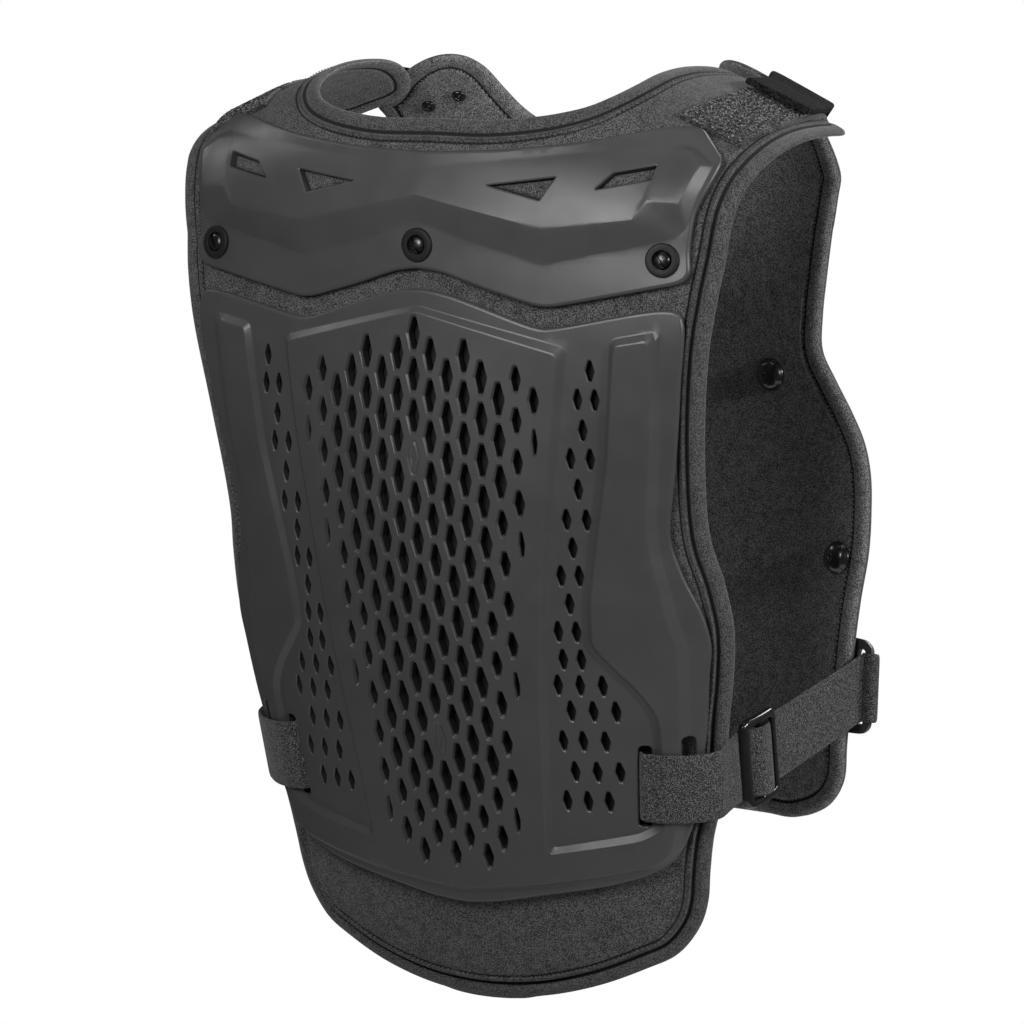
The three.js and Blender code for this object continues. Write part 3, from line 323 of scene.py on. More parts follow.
def through(points, step, closed=True):
    """A smooth line through a few points, with a new point at each step of length."""
    points = np.asarray(points, float)
    count = len(points)
    line = []
    for i in range(count if closed else count - 1):
        wanted = [i - 1, i, i + 1, i + 2]
        four = [points[k % count] if closed else points[min(max(k, 0), count - 1)] for k in wanted]
        gaps = [max(np.linalg.norm(four[k + 1] - four[k]), 1e-6) ** 0.5 for k in range(3)]
        here = (four[1] - four[0]) / gaps[0] - (four[2] - four[0]) / (gaps[0] + gaps[1])
        leave = gaps[1] * (here + (four[2] - four[1]) / gaps[1])
        there = (four[2] - four[1]) / gaps[1] - (four[3] - four[1]) / (gaps[1] + gaps[2])
        arrive = gaps[1] * (there + (four[3] - four[2]) / gaps[2])
        pieces = max(int(np.ceil(np.linalg.norm(four[2] - four[1]) / step)), 1)
        for t in np.arange(pieces) / pieces:
            a, b = 2 * t**3 - 3 * t**2 + 1, t**3 - 2 * t**2 + t
            line.append(a * four[1] + b * leave + (1 - a) * four[2] + (t**3 - t**2) * arrive)
    if not closed:
        line.append(points[-1])
    return np.array(line)


def rounded(points, radius, step):
    """A loop with its corners rounded and its edges cut into steps."""
    points = np.asarray(points, float)
    line = []
    for before, here, after in zip(np.roll(points, 1, 0), points, np.roll(points, -1, 0)):
        back, ahead = before - here, after - here
        reach = min(radius, np.linalg.norm(back) * 0.48, np.linalg.norm(ahead) * 0.48)
        start, end = here + unit(back) * reach, here + unit(ahead) * reach
        if line:
            pieces = max(int(np.linalg.norm(start - line[-1]) / step), 1)
            line.extend(line[-1] + (start - line[-1]) * k / pieces for k in range(1, pieces))
        turn = np.arccos(np.clip(np.dot(unit(back), unit(ahead)), -1, 1))
        line.extend(corner(start, here, end, max(int((np.pi - turn) / BEND), 1) + 1))
    pieces = max(int(np.linalg.norm(line[0] - line[-1]) / step), 1)
    line.extend(line[-1] + (line[0] - line[-1]) * k / pieces for k in range(1, pieces))
    return np.array(line)


def shifted(loop, distance):
    """The loop moved inwards, for one that runs with its inside on the left."""
    ahead = unit(np.roll(loop, -1, 0) - loop) + unit(loop - np.roll(loop, 1, 0))
    inwards = unit(np.stack([-ahead[:, 1], ahead[:, 0]], -1))
    return loop + inwards * distance


def turning(loop):
    """The area of a loop, which is positive when its inside is on the left."""
    after = np.roll(loop, -1, 0)
    return np.sum(loop[:, 0] * after[:, 1] - after[:, 0] * loop[:, 1]) / 2


def leftwards(loop):
    return loop if turning(loop) > 0 else loop[::-1]


def reach_to(points, loop, closed=True):
    """How far each point lies from a line."""
    start = loop if closed else loop[:-1]
    side = (np.roll(loop, -1, 0) if closed else loop[1:]) - start
    least = np.full(len(points), np.inf)
    for a, d in zip(start, side):
        t = np.clip(((points - a) @ d) / max(d @ d, 1e-12), 0, 1)
        least = np.minimum(least, np.hypot(*(points - a - t[:, None] * d).T))
    return least


def holds(points, loop):
    """Which points lie inside a loop."""
    after = np.roll(loop, -1, 0)
    odd = np.zeros(len(points), bool)
    for (ax, ay), (bx, by) in zip(loop, after):
        if ay == by:
            continue
        crosses = (ay > points[:, 1]) != (by > points[:, 1])
        odd ^= crosses & (points[:, 0] < ax + (points[:, 1] - ay) * (bx - ax) / (by - ay))
    return odd


def filling(loop, step, clear):
    """An even spread of points inside a loop, clear of its edge."""
    low, high = loop.min(0), loop.max(0)
    rows = np.arange(low[1], high[1], step * ROW_GAP)
    places = np.arange(low[0], high[0], step)
    grid = np.array([(x + (i % 2) * step / 2, y) for i, y in enumerate(rows) for x in places])
    grid = grid[holds(grid, loop)]
    return grid[reach_to(grid, loop) > clear]


def plan(borders, lines, points):
    """Cuts the region within the borders into triangles that keep to the lines."""
    spots, edges = [], []
    for line, closed in [(b, True) for b in borders] + lines:
        first = len(spots)
        spots.extend(line)
        edges += [(first + i, first + i + 1) for i in range(len(line) - 1)]
        if closed:
            edges.append((first + len(line) - 1, first))
    spots.extend(points)
    cut = delaunay_2d_cdt([Vector(p) for p in spots], edges, [], 0, 1e-5)
    flat = np.array([v[:] for v in cut[0]], float)
    triangles = np.array(cut[2])
    middles = flat[triangles].mean(1)
    odd = np.zeros(len(middles), bool)
    for border in borders:
        odd ^= holds(middles, border)
    triangles = triangles[odd]
    a, b, c = flat[triangles].transpose(1, 0, 2)
    area = (b[:, 0] - a[:, 0]) * (c[:, 1] - a[:, 1]) - (b[:, 1] - a[:, 1]) * (c[:, 0] - a[:, 0])
    kept = np.abs(area) > 1e-7
    triangles, backwards = triangles[kept], area[kept] < 0
    triangles[backwards] = triangles[backwards][:, ::-1]
    used, renamed = np.unique(triangles, return_inverse=True)
    return flat[used], renamed.reshape(-1, 3)


def mesh_piece(name, points, faces, finishes, weld, chosen=None, angle=SMOOTH_ANGLE, replacing=True):
    """Makes a piece of the vest from points in millimetres, in place of the solid of its name."""
    mesh = bpy.data.meshes.new(name)
    mesh.from_pydata([Vector(p) * MM for p in points], [], [tuple(int(k) for k in f) for f in faces])
    for finish in finishes:
        mesh.materials.append(finish.material)
    if chosen is not None:
        mesh.polygons.foreach_set("material_index", np.asarray(chosen, np.int32))
    shape = bmesh.new()
    shape.from_mesh(mesh)
    bmesh.ops.remove_doubles(shape, verts=shape.verts, dist=weld * MM)
    for face in shape.faces:
        face.smooth = True
    for edge in shape.edges:
        edge.smooth = len(edge.link_faces) == 2 and edge.calc_face_angle(0) < angle
    shape.to_mesh(mesh)
    shape.free()
    piece = bpy.data.objects.new(name, mesh)
    bpy.context.collection.objects.link(piece)
    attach(piece, "root")
    if replacing:
        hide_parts(name)
    return piece


def shell(flat, triangles, top, bottom, flipped=False):
    """The points and faces of a closed sheet with a top and a bottom."""
    count = len(flat)
    sides = np.concatenate([triangles[:, [0, 1]], triangles[:, [1, 2]], triangles[:, [2, 0]]])
    known = {(a, b) for a, b in sides.tolist()}
    rims = [(a, b) for a, b in sides.tolist() if (b, a) not in known]
    faces = [*triangles.tolist(), *(triangles[:, ::-1] + count).tolist()]
    faces += [(b, a, a + count, b + count) for a, b in rims]
    if flipped:
        faces = [face[::-1] for face in faces]
    return np.concatenate([top, bottom]), faces


# Padded panels. Each is knit fabric over foam, quilted flat, and its edge is turned over and bound: a
# rounded roll, a sewn groove with a row of stitches beside it, and a fine ridge. The front one runs
# over the shoulders and is one piece with them, and the back one comes up behind them.
CHEST_HALF = 161.5
BACK_HALF = 157
PANEL_WALL = 8
EDGE_BULGE = 2.2
EDGE_STITCH_INSET = 11.9
EDGE_STEP = 3.0
INNER_STEP = 8.0
# Pitch, length and width of the stitches.
PANEL_STITCH = (3.4, 2.3, 0.55)
# The rows of each panel's outline, from the hem upwards: the station in the middle and at the edge, and
# the shares of its half width from which and to which it runs.
FRONT_ROWS = table("mid edge inner outer", [
    (-1, -0.925, 0, 0.669), (-0.963, -0.888, 0, 0.743), (-0.915, -0.854, 0, 0.774), (-0.854, -0.815, 0, 0.789),
    (-0.793, -0.768, 0, 0.811), (-0.732, -0.724, 0, 0.842), (-0.671, -0.671, 0, 0.87), (-0.61, -0.61, 0, 0.895),
    (-0.549, -0.549, 0, 0.923), (-0.488, -0.488, 0, 0.938), (-0.427, -0.427, 0, 0.926),
    (-0.366, -0.366, 0, 0.901), (-0.244, -0.244, 0, 0.916), (-0.122, -0.122, 0, 0.954),
    (-0.061, -0.061, 0, 0.978), (0, 0, 0, 1), (0.08, 0.09, 0, 1.022), (0.157, 0.175, 0, 1.045),
    (0.162, 0.19, 0.186, 1.05), (0.179, 0.207, 0.316, 1.056), (0.204, 0.232, 0.421, 1.062),
    (0.24, 0.262, 0.508, 1.07), (0.289, 0.3, 0.567, 1.078), (0.345, 0.35, 0.602, 1.086),
    (0.42, 0.42, 0.616, 1.092), (0.5, 0.5, 0.622, 1.09), (0.57, 0.57, 0.635, 1.08), (0.62, 0.62, 0.65, 1.05),
    (0.665, 0.66, 0.67, 1.01), (0.695, 0.69, 0.7, 0.96), (0.708, 0.708, 0.755, 0.89),
])
BACK_ROWS = table("mid edge inner outer", [
    (2, 2, 0, 0.735), (1.995, 1.972, 0, 0.875), (1.95, 1.93, 0, 0.935), (1.88, 1.87, 0, 0.945),
    (1.8, 1.8, 0, 0.955), (1.7, 1.7, 0, 0.963), (1.62, 1.62, 0, 0.978), (1.54, 1.54, 0, 1), (1.47, 1.47, 0, 1),
    (1.41, 1.41, 0, 0.99), (1.36, 1.36, 0, 0.96), (1.31, 1.31, 0, 0.9), (1.26, 1.26, 0, 0.83),
    (1.21, 1.21, 0, 0.772), (1.15, 1.15, 0, 0.775), (1.07, 1.07, 0, 0.805), (1, 1, 0, 0.835),
    (0.95, 0.95, 0, 0.86), (0.918, 0.91, 0, 0.878), (0.908, 0.885, 0.16, 0.872), (0.885, 0.855, 0.29, 0.86),
    (0.85, 0.82, 0.375, 0.845), (0.8, 0.797, 0.43, 0.838), (0.74, 0.775, 0.468, 0.845),
    (0.705, 0.757, 0.505, 0.85), (0.686, 0.745, 0.55, 0.835), (0.68, 0.735, 0.6, 0.79),
])
# How far the two faces sink towards the middle of the wall, by the distance in from the rim.
BINDING = table("inset outer inner", [
    (0, 4, 4), (0.3, 2.5, 2.5), (1, 1.35, 1.35), (2, 0.54, 0.54), (3.2, 0.08, 0.08), (4.8, -0.1, -0.1),
    (6.4, -0.05, 0), (7.3, 0.4, 0.2), (8.1, 1.5, 0.8), (9.2, 2.6, 1.5), (10.2, 1.3, 0.7), (10.9, -0.3, 0),
    (11.9, -0.6, 0), (12.9, -0.1, 0), (13.7, 0.9, 0), (14.6, 0.1, 0), (17.0, 0, 0),
])
# Over the shoulders the padding is thinner, by this much at these stations.
SHOULDER_THINNING = ((0, 0.2, 0.62, 0.9), (0, 4.2, 4.2, 0))
# The order of a panel's finishes, and how far in from the rim each one of the edge reaches. The groove finish
# is painted shade: the same knit painted near black in the dips of the bound edge and of the lining.
OUTSIDE, LINING, BOUND_EDGE, GROOVE_SHADE = range(4)
OUTER_EDGE = {8.1: BOUND_EDGE, 10.2: GROOVE_SHADE, 13.4: BOUND_EDGE, 14.4: GROOVE_SHADE}
INNER_GROOVE = (8.4, 9.8)
SEAM_SHARE = 0.96
STATIONS = np.linspace(-1.05, 2.05, 3101)
STRETCH_X = 90.0
LENGTHS = np.concatenate([[0], np.cumsum(np.linalg.norm(np.diff(form(STRETCH_X, STATIONS), axis=0), axis=1))])


def to_flat(x, station):
    """Half widths and stations as places in a panel's flat plan, where a station is a length."""
    return np.stack([x, np.interp(station, STATIONS, LENGTHS)], -1)


def from_flat(flat):
    return flat[:, 0], np.interp(flat[:, 1], LENGTHS, STATIONS)


def panel_loop(rows, half):
    """The outline of a panel in its flat plan, from the middle of the hem round to it again."""
    last = len(rows["mid"]) - 1
    first_inner = int(np.argmax(rows["inner"] > 0))

    def spot(i, t):
        """The half width and station at a share of the way out along a row."""
        x = half * (rows["inner"][i] + (rows["outer"][i] - rows["inner"][i]) * t)
        return x, rows["mid"][i] + (rows["edge"][i] - rows["mid"][i]) * t * t

    side = [spot(0, t) for t in (0.3, 0.6, 0.85)]
    side += [spot(i, 1) for i in range(last + 1)]
    side += [spot(last, t) for t in (0.66, 0.33)]
    side += [spot(i, 0) for i in range(last, first_inner - 1, -1)]
    side = np.array(side)
    ends = np.array([spot(0, 0), spot(first_inner - 1, 0)])
    other = side[::-1] * (-1, 1)
    whole = np.concatenate([ends[:1], side, ends[1:], other])
    return leftwards(through(to_flat(whole[:, 0], whole[:, 1]), EDGE_STEP))


def inset_on_form(loop, distance):
    """The loop moved inwards by a real distance on the form."""
    x, station = from_flat(loop)
    across, along = slopes(x, station)
    ahead, back = (np.interp(station + way * STATION_STEP, STATIONS, LENGTHS) for way in (1, -1))
    upward = along * (2 * STATION_STEP) / (ahead - back)[:, None]
    step = np.roll(loop, -1, 0) - np.roll(loop, 1, 0)
    tangent = unit(across * step[:, :1] + upward * step[:, 1:])
    inward = np.cross(unit(np.cross(across, upward)), tangent) * distance
    aa = np.sum(across * across, -1)
    ab = np.sum(across * upward, -1)
    bb = np.sum(upward * upward, -1)
    pa = np.sum(across * inward, -1)
    pb = np.sum(upward * inward, -1)
    scale = aa * bb - ab * ab
    return loop + np.stack([(bb * pa - ab * pb) / scale, (aa * pb - ab * pa) / scale], -1)


class Nodes:
    """A geometry node group with named inputs, which ends in plain geometry with one material."""

    def __init__(self, name, **inputs):
        self.group = bpy.data.node_groups.new(name, "GeometryNodeTree")
        ports = self.group.interface
        ports.new_socket("Geometry", in_out="INPUT", socket_type="NodeSocketGeometry")
        ports.new_socket("Geometry", in_out="OUTPUT", socket_type="NodeSocketGeometry")
        self.values = inputs
        self.names = {}
        for label, value in inputs.items():
            kind = "NodeSocketInt" if isinstance(value, int) else "NodeSocketFloat"
            self.names[label] = ports.new_socket(label, in_out="INPUT", socket_type=kind).identifier
        self.start = self.group.nodes.new("NodeGroupInput")
        self.end = self.group.nodes.new("NodeGroupOutput")

    def given(self, label):
        return self.start.outputs[label]

    def add(self, kind, settings=None, inputs=None):
        made = self.group.nodes.new(kind)
        for name, value in (settings or {}).items():
            setattr(made, name, value)
        for name, value in (inputs or {}).items():
            if isinstance(value, bpy.types.NodeSocket):
                self.group.links.new(value, made.inputs[name])
            else:
                made.inputs[name].default_value = value
        return made

    def finish(self, instances, finish):
        real = self.add("GeometryNodeRealizeInstances", inputs={"Geometry": instances})
        inputs = {"Geometry": real.outputs[0], "Material": finish.material}
        last = self.add("GeometryNodeSetMaterial", inputs=inputs)
        self.group.links.new(last.outputs[0], self.end.inputs[0])

    def applied(self, name, mesh, finish):
        """Runs the group on a mesh, and keeps the result as a plain piece of the vest."""
        carrier = bpy.data.objects.new(f"{name}_carrier", mesh)
        bpy.context.collection.objects.link(carrier)
        modifier = carrier.modifiers.new("nodes", "NODES")
        modifier.node_group = self.group
        for label, identifier in self.names.items():
            modifier[identifier] = self.values[label]
        graph = bpy.context.evaluated_depsgraph_get()
        result = bpy.data.meshes.new_from_object(carrier.evaluated_get(graph))
        bpy.data.objects.remove(carrier)
        result.name = name
        result.materials.clear()
        result.materials.append(finish.material)
        result.shade_smooth()
        piece = bpy.data.objects.new(name, result)
        bpy.context.collection.objects.link(piece)
        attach(piece, "root")


def stitched(name, routes, stitch):
    """A row of sewn stitches along each route of places."""
    pitch, length, width = stitch
    points, edges = [], []
    for route in routes:
        edges += [(len(points) + i, len(points) + i + 1) for i in range(len(route) - 1)]
        points.extend(Vector(p) * MM for p in route)
    line = bpy.data.meshes.new(f"{name}_line")
    line.from_pydata(points, edges, [])
    nodes = Nodes(f"{name}_nodes", Pitch=pitch * MM, Length=length * MM, Width=width * MM)
    curve = nodes.add("GeometryNodeMeshToCurve", inputs={"Mesh": nodes.given("Geometry")})
    spots = nodes.add("GeometryNodeCurveToPoints", {"mode": "LENGTH"},
                      {"Curve": curve.outputs[0], "Length": nodes.given("Pitch")})
    thread = nodes.add("GeometryNodeMeshUVSphere", inputs={"Segments": 6, "Rings": 5, "Radius": 0.5})
    size = nodes.add("ShaderNodeCombineXYZ", inputs={"X": nodes.given("Width"), "Y": nodes.given("Width"),
                                                     "Z": nodes.given("Length")})
    placed = nodes.add("GeometryNodeInstanceOnPoints", inputs={
        "Points": spots.outputs["Points"], "Instance": thread.outputs["Mesh"],
        "Rotation": spots.outputs["Rotation"], "Scale": size.outputs[0]})
    nodes.finish(placed.outputs[0], thread_finish)
    nodes.applied(name, line, thread_finish)


def padded_panel(name, rows, half, inside):
    """A padded panel whose inner face lies at a height above the form."""
    outside = inside + PANEL_WALL
    base = panel_loop(rows, half)
    rim = inset_on_form(base, -EDGE_BULGE)
    rim_places = form(*from_flat(rim))

    def from_rim(flat):
        """How far places on the form lie from the rim, given in the flat plan."""
        places = form(*from_flat(flat))
        least = np.full(len(places), np.inf)
        for a, b in zip(rim_places, np.roll(rim_places, -1, 0)):
            side = b - a
            t = np.clip(((places - a) @ side) / (side @ side), 0, 1)
            least = np.minimum(least, np.linalg.norm(places - a - t[:, None] * side, axis=1))
        return least

    def seams(inset):
        """The line at a distance in from the rim, less the runs that would cross in a tight corner."""
        moved = inset_on_form(base, inset - EDGE_BULGE)
        kept = from_rim(moved) > inset * SEAM_SHARE
        if kept.all():
            return [(moved, True)]
        runs = np.split(np.arange(len(moved)), np.flatnonzero(~kept))
        runs = [run[kept[run]] for run in runs]
        if len(runs) > 1 and kept[0] and kept[-1]:
            runs[0] = np.concatenate([runs.pop(), runs[0]])
        return [(moved[run], False) for run in runs if len(run) > 1]

    lines = [line for inset in BINDING["inset"][1:] for line in seams(inset)]
    deepest = BINDING["inset"][-1]
    points = filling(rim, INNER_STEP, 0)
    points = points[from_rim(points) > deepest + INNER_STEP * 0.5]
    flat, triangles = plan([rim], lines, points)
    inset = from_rim(flat)
    x, station = from_flat(flat)
    thinner = np.interp(station, *SHOULDER_THINNING)
    share = 1 - thinner / PANEL_WALL
    fall = {side: share * np.interp(inset, BINDING["inset"], BINDING[side]) for side in ("outer", "inner")}
    top = lifted(x, station, outside - fall["outer"])
    bottom = lifted(x, station, inside + thinner + fall["inner"])
    places, faces = shell(flat, triangles, top, bottom)
    count = len(triangles)
    middle = inset[triangles].mean(1)
    zones = [middle < limit for limit in OUTER_EDGE]
    # The lining's groove takes the painted shade of the groove finish.
    in_groove_shade = (middle > INNER_GROOVE[0]) & (middle < INNER_GROOVE[1])
    chosen = np.full(len(faces), OUTSIDE)
    chosen[:count] = np.select(zones, list(OUTER_EDGE.values()), OUTSIDE)
    chosen[count : 2 * count] = np.where(in_groove_shade, GROOVE_SHADE, LINING)
    piece = mesh_piece(name, places, faces, panel_finishes, 0.02, chosen, math.radians(75))
    routes = []
    stitch_lift = outside - np.interp(EDGE_STITCH_INSET, BINDING["inset"], BINDING["outer"])
    for line, closed in seams(EDGE_STITCH_INSET):
        x, station = from_flat(np.concatenate([line, line[:1]]) if closed else line)
        routes.append(lifted(x, station, np.full(len(x), stitch_lift)))
    stitched(f"{name}_stitching", routes, PANEL_STITCH)
    return piece


def knit(name, dark, light, grain, depth, sheen):
    """Fine knit fabric: two yarns mixed at random, with a soft nap."""
    finish = Finish(name)
    yarn = finish.noise(grain, 2, 0.6)
    patch = finish.noise(grain * 0.1, 3, 0.6)
    mixed = yarn * 0.85 + patch * 0.15
    finish.set(Base_Color=finish.shades(mixed, [(0.43, dark), (0.5, (dark + light) * 0.4), (0.57, light)]))
    finish.set(Roughness=0.95, Sheen_Weight=sheen, Sheen_Roughness=0.5)
    finish.bump(yarn, depth)
    return finish


panel_knit = knit("panel_knit", 0.006, 0.1, 1500, 0.25, 0.05)
lining_knit = knit("lining_knit", 0.028, 0.22, 1600, 0.2, 0.05)
binding_knit = knit("binding_knit", 0.01, 0.085, 1500, 0.25, 0.1)
# Painted shade: a near black finish for the panels' grooves, standing in for the shade in them.
groove_shade = Finish("sewn_groove_shade")
groove_shade.set(Base_Color=groove_shade.mottled(0.002, 0.008, 900), Roughness=1.0)
thread_finish = Finish("sewing_thread")
thread_finish.set(Base_Color=thread_finish.mottled(0.012, 0.03, 1500), Roughness=0.7)
panel_finishes = [panel_knit, lining_knit, binding_knit, groove_shade]
front_fabric = padded_panel("front_panel", FRONT_ROWS, CHEST_HALF, -PANEL_WALL)
padded_panel("back_panel", BACK_ROWS, BACK_HALF, FIT)

# Chest plate. A sheet of tough plastic, moulded in one with a raised middle field that runs out below
# into two raised side panels. The field is a lattice of long six-sided vents, and the channels beside
# it have smaller ones. It lies on the panel and is held at the foot by the side straps.
PLATE_WALL = 3.6
PLATE_TOP = FIT + PLATE_WALL
FIELD_RISE = 2.8
GRID = 6.5
HOLE_WIDTH = 6.5
HOLE_HEIGHT = 16.6
HOLE_TIP = 2.2
SMALL_HOLE_WIDTH = 5.2
SMALL_HOLE_HEIGHT = 12.6
SLIT_WIDTH = 2.2
SLIT_HEIGHT = 12.5
SIDE_HOLE_WIDTH = 4.9
SIDE_HOLE_HEIGHT = 10.9
HOLE_PITCH = 9.5
HOLE_DROP = 21.54
FIRST_HOLE = -119
# The vents of the middle column that are closed, each with a small engraved ring.
FILLED_ROWS = (3, 10)
VENT_DEPTH = 1.7
VENT_BEVEL = 0.95
SIDE_VENT_TIP = 1.6
SIDE_VENT_BEVEL = 0.5
SIDE_VENT_DEPTH = 0.7
ENGRAVED = 0.5
RING_RADIUS = 1.7
UNDER_PLATE = 12
SLOT_WIDTH = 6.4
SLOT_Z = -357
SLOT_LEAN = 4.4
SLOT_LENGTH = 45
SLOT_BEVEL = 1.2
SLOT_BEVEL_DEPTH = 0.6
# The middle, lean and length of each of the two slots on a side.
PLATE_SLOTS = ((104.2, SLOT_Z, SLOT_LEAN, SLOT_LENGTH), (125, -349, 3.6, 40))
# Edges that turn by more than this stay sharp.
PLATE_ANGLE = math.radians(12)
EDGE_CLEAR = 3.2
ON_LINE = 0.02
PLATE_EDGE = [
    (0, -96), (17.4, -98.3), (65.3, -113.1), (72.1, -114.1), (79.8, -113.1), (134.9, -103.1), (142.5, -104.6),
    (145, -110.9), (141.5, -144.1), (136, -182), (130.9, -208.9), (129.3, -222.2), (133, -242.1),
    (139.9, -264), (142, -279.9), (139.9, -295.2), (136, -324.1), (133, -339), (124, -378.9), (114, -398.1),
    (105, -405.1), (87, -412.1), (50, -420), (0, -428),
]
# The foot and the brow of the slope round everything raised. Each corner of one goes with the corner of
# the other that stands at the same place in its list.
RAISED_FOOT = [
    (0, -104), (84.5, -123), (80, -164), (72, -220), (63, -302), (54.5, -392), (99, -382.5), (107.5, -377),
    (111.5, -334), (112, -318), (106, -306), (94, -292), (85, -280), (86, -257), (92, -224), (100, -184),
    (104, -151), (107, -118), (134.5, -112.5), (131, -172), (125, -210), (125, -229), (130, -267),
    (133, -279), (131, -312), (127, -340), (122, -376), (116.5, -396), (108, -403), (88, -408), (51, -415),
    (0, -421.5),
]
RAISED_BROW = [
    (0, -108), (79.5, -127.5), (75.4, -164), (67.4, -220), (58.5, -302), (50.5, -397), (99.5, -387.5),
    (111.5, -380.5), (114.8, -334), (115, -317), (108, -303.5), (96, -289), (88, -279), (89, -257.5),
    (95, -224.5), (103, -184.5), (107, -151), (110, -122), (127, -119), (123.5, -172), (117.5, -210),
    (117.5, -229), (122, -267), (125, -280), (123.5, -312), (120, -340), (116, -376), (111.5, -393),
    (105, -399.5), (87.5, -404), (50.7, -411.5), (0, -418),
]
# How the slope eases out of its foot and into its brow.
SLOPE = table("share rise", [(0, 0), (0.16, 0.07), (0.84, 0.93), (1, 1)])
# How far the top of a sheet falls, by the distance in from its edge.
ROUNDED_EDGE = table("inset fall", [(0, 1.5), (0.3, 0.8), (0.9, 0.22), (1.8, 0)])


def mirror(loop):
    return np.asarray(loop, float)[::-1] * (-1, 1)


def both(rows):
    """A whole loop from its right half, which starts and ends on the middle line."""
    rows = np.asarray(rows, float)
    return np.concatenate([rows, mirror(rows[1:-1])])


def family(loops, radius, step):
    """Loops of as many corners each, rounded alike, so that their points keep to one another."""
    first = loops[0]
    lines = [[] for _ in loops]
    for i in range(len(first)):
        j = (i + 1) % len(first)
        gap = np.linalg.norm(first[j] - first[i])
        back = min(radius / max(np.linalg.norm(first[i - 1] - first[i]), 1e-6), 0.45)
        ahead = min(radius / max(gap, 1e-6), 0.45)
        coming, going = unit(first[i] - first[i - 1]), unit(first[j] - first[i])
        bends = 1 + int(np.arccos(np.clip(coming @ going, -1, 1)) / BEND)
        pieces = max(int(gap / step), 1)
        for loop, line in zip(loops, lines):
            start = loop[i] + (loop[i - 1] - loop[i]) * back
            end = loop[i] + (loop[j] - loop[i]) * ahead
            stop = loop[j] + (loop[i] - loop[j]) * ahead
            line.extend(corner(start, loop[i], end, bends))
            line.extend(end + (stop - end) * k / pieces for k in range(1, pieces))
    return [np.array(line) for line in lines]


def slope_loops(foot, brow, radius, step):
    """Loops up a slope, with its foot and brow eased, and the share of the rise at each."""
    foot, brow = both(foot), both(brow)
    return family([foot + (brow - foot) * share for share in SLOPE["share"]], radius, step)


def rise_within(flat, loops):
    """How far up a slope each point lies, from 0 outside its foot to 1 inside its brow."""
    foot, brow = loops[0], loops[-1]
    within, over = holds(flat, foot), holds(flat, brow)
    low, high = reach_to(flat, foot), reach_to(flat, brow)
    share = low / np.maximum(low + high, 1e-9)
    eased = np.interp(share, SLOPE["share"], SLOPE["rise"])
    return np.where(over | (high < ON_LINE), 1, np.where(within & (low > ON_LINE), eased, 0))


def vent(x, z, width, height, tip, grow=0.0):
    """A long six-sided hole, blunt above and below and widest in the middle."""
    side, reach, end = width / 2 + grow, height / 2 + grow * 1.5, tip / 2 + grow * 0.5
    corners = [(end, reach), (side, 0), (end, -reach), (-end, -reach), (-side, 0), (-end, reach)]
    return leftwards(rounded(np.array(corners) + (x, z), 0.7, 30))


def long_slot(x, z, lean, width, length):
    """A slot with round ends, leaning a little."""
    half, reach, aside = width / 2, length / 2, lean / 2
    corners = [(-aside - half, -reach), (-aside + half, -reach), (aside + half, reach), (aside - half, reach)]
    return leftwards(rounded(np.array(corners) + (x, z), half * 0.9, 30))


def bevelled_slot(x, z, lean, width, length, bevel, depth_down):
    """A slot, the foot of the bevel round it and the depth of that bevel."""
    foot = long_slot(x, z, lean, width + bevel, length + bevel)
    return long_slot(x, z, lean, width, length), foot, depth_down


def circle(radius, count):
    angles = np.linspace(0, 2 * math.pi, count, False)
    return np.stack([radius * np.cos(angles), radius * np.sin(angles)], -1)


def lattice():
    """The middle, width and height of each vent of the field, and whether it is left closed."""
    large, small = (HOLE_WIDTH, HOLE_HEIGHT), (SMALL_HOLE_WIDTH, SMALL_HOLE_HEIGHT)
    slit = (SLIT_WIDTH, SLIT_HEIGHT)
    columns = [
        (0, 0, [large] * 13 + [small]),
        (1, 0.5, [large] * 12 + [small]),
        (2, 1, [large] * 11 + [small] * 2),
        (3, 0.5, [large] * 11 + [small] * 2),
        (4, 1, [large] * 6 + [small] * 5 + [slit]),
        (5, 1.5, [large] * 3 + [small] * 4 + [slit]),
        (6, 1, [small] * 4 + [slit]),
        (7, 1.5, [small, slit]),
    ]
    for column, start, sizes in columns:
        for row, (width, height) in enumerate(sizes):
            z = FIRST_HOLE - (start + row) * HOLE_DROP
            filled = column == 0 and row in FILLED_ROWS
            for side in {-1, 1} if column else {1}:
                yield side * column * HOLE_PITCH, z, width, height, filled


SIDE_VENTS = [
    (-135, (96,)), (-150, (89, 98)), (-166, (91,)), (-181, (84, 94)), (-197, (87,)), (-213, (80, 90)),
    (-228, (82,)), (-243, (75, 84)), (-258, (78,)), (-273, (71, 80)), (-288, (72, 81)), (-302, (68, 79, 90)),
    (-316, (73, 84, 95)), (-332.5, (67, 77, 88)), (-349.5, (71, 82, 93)), (-366, (65, 75.5, 86)),
]


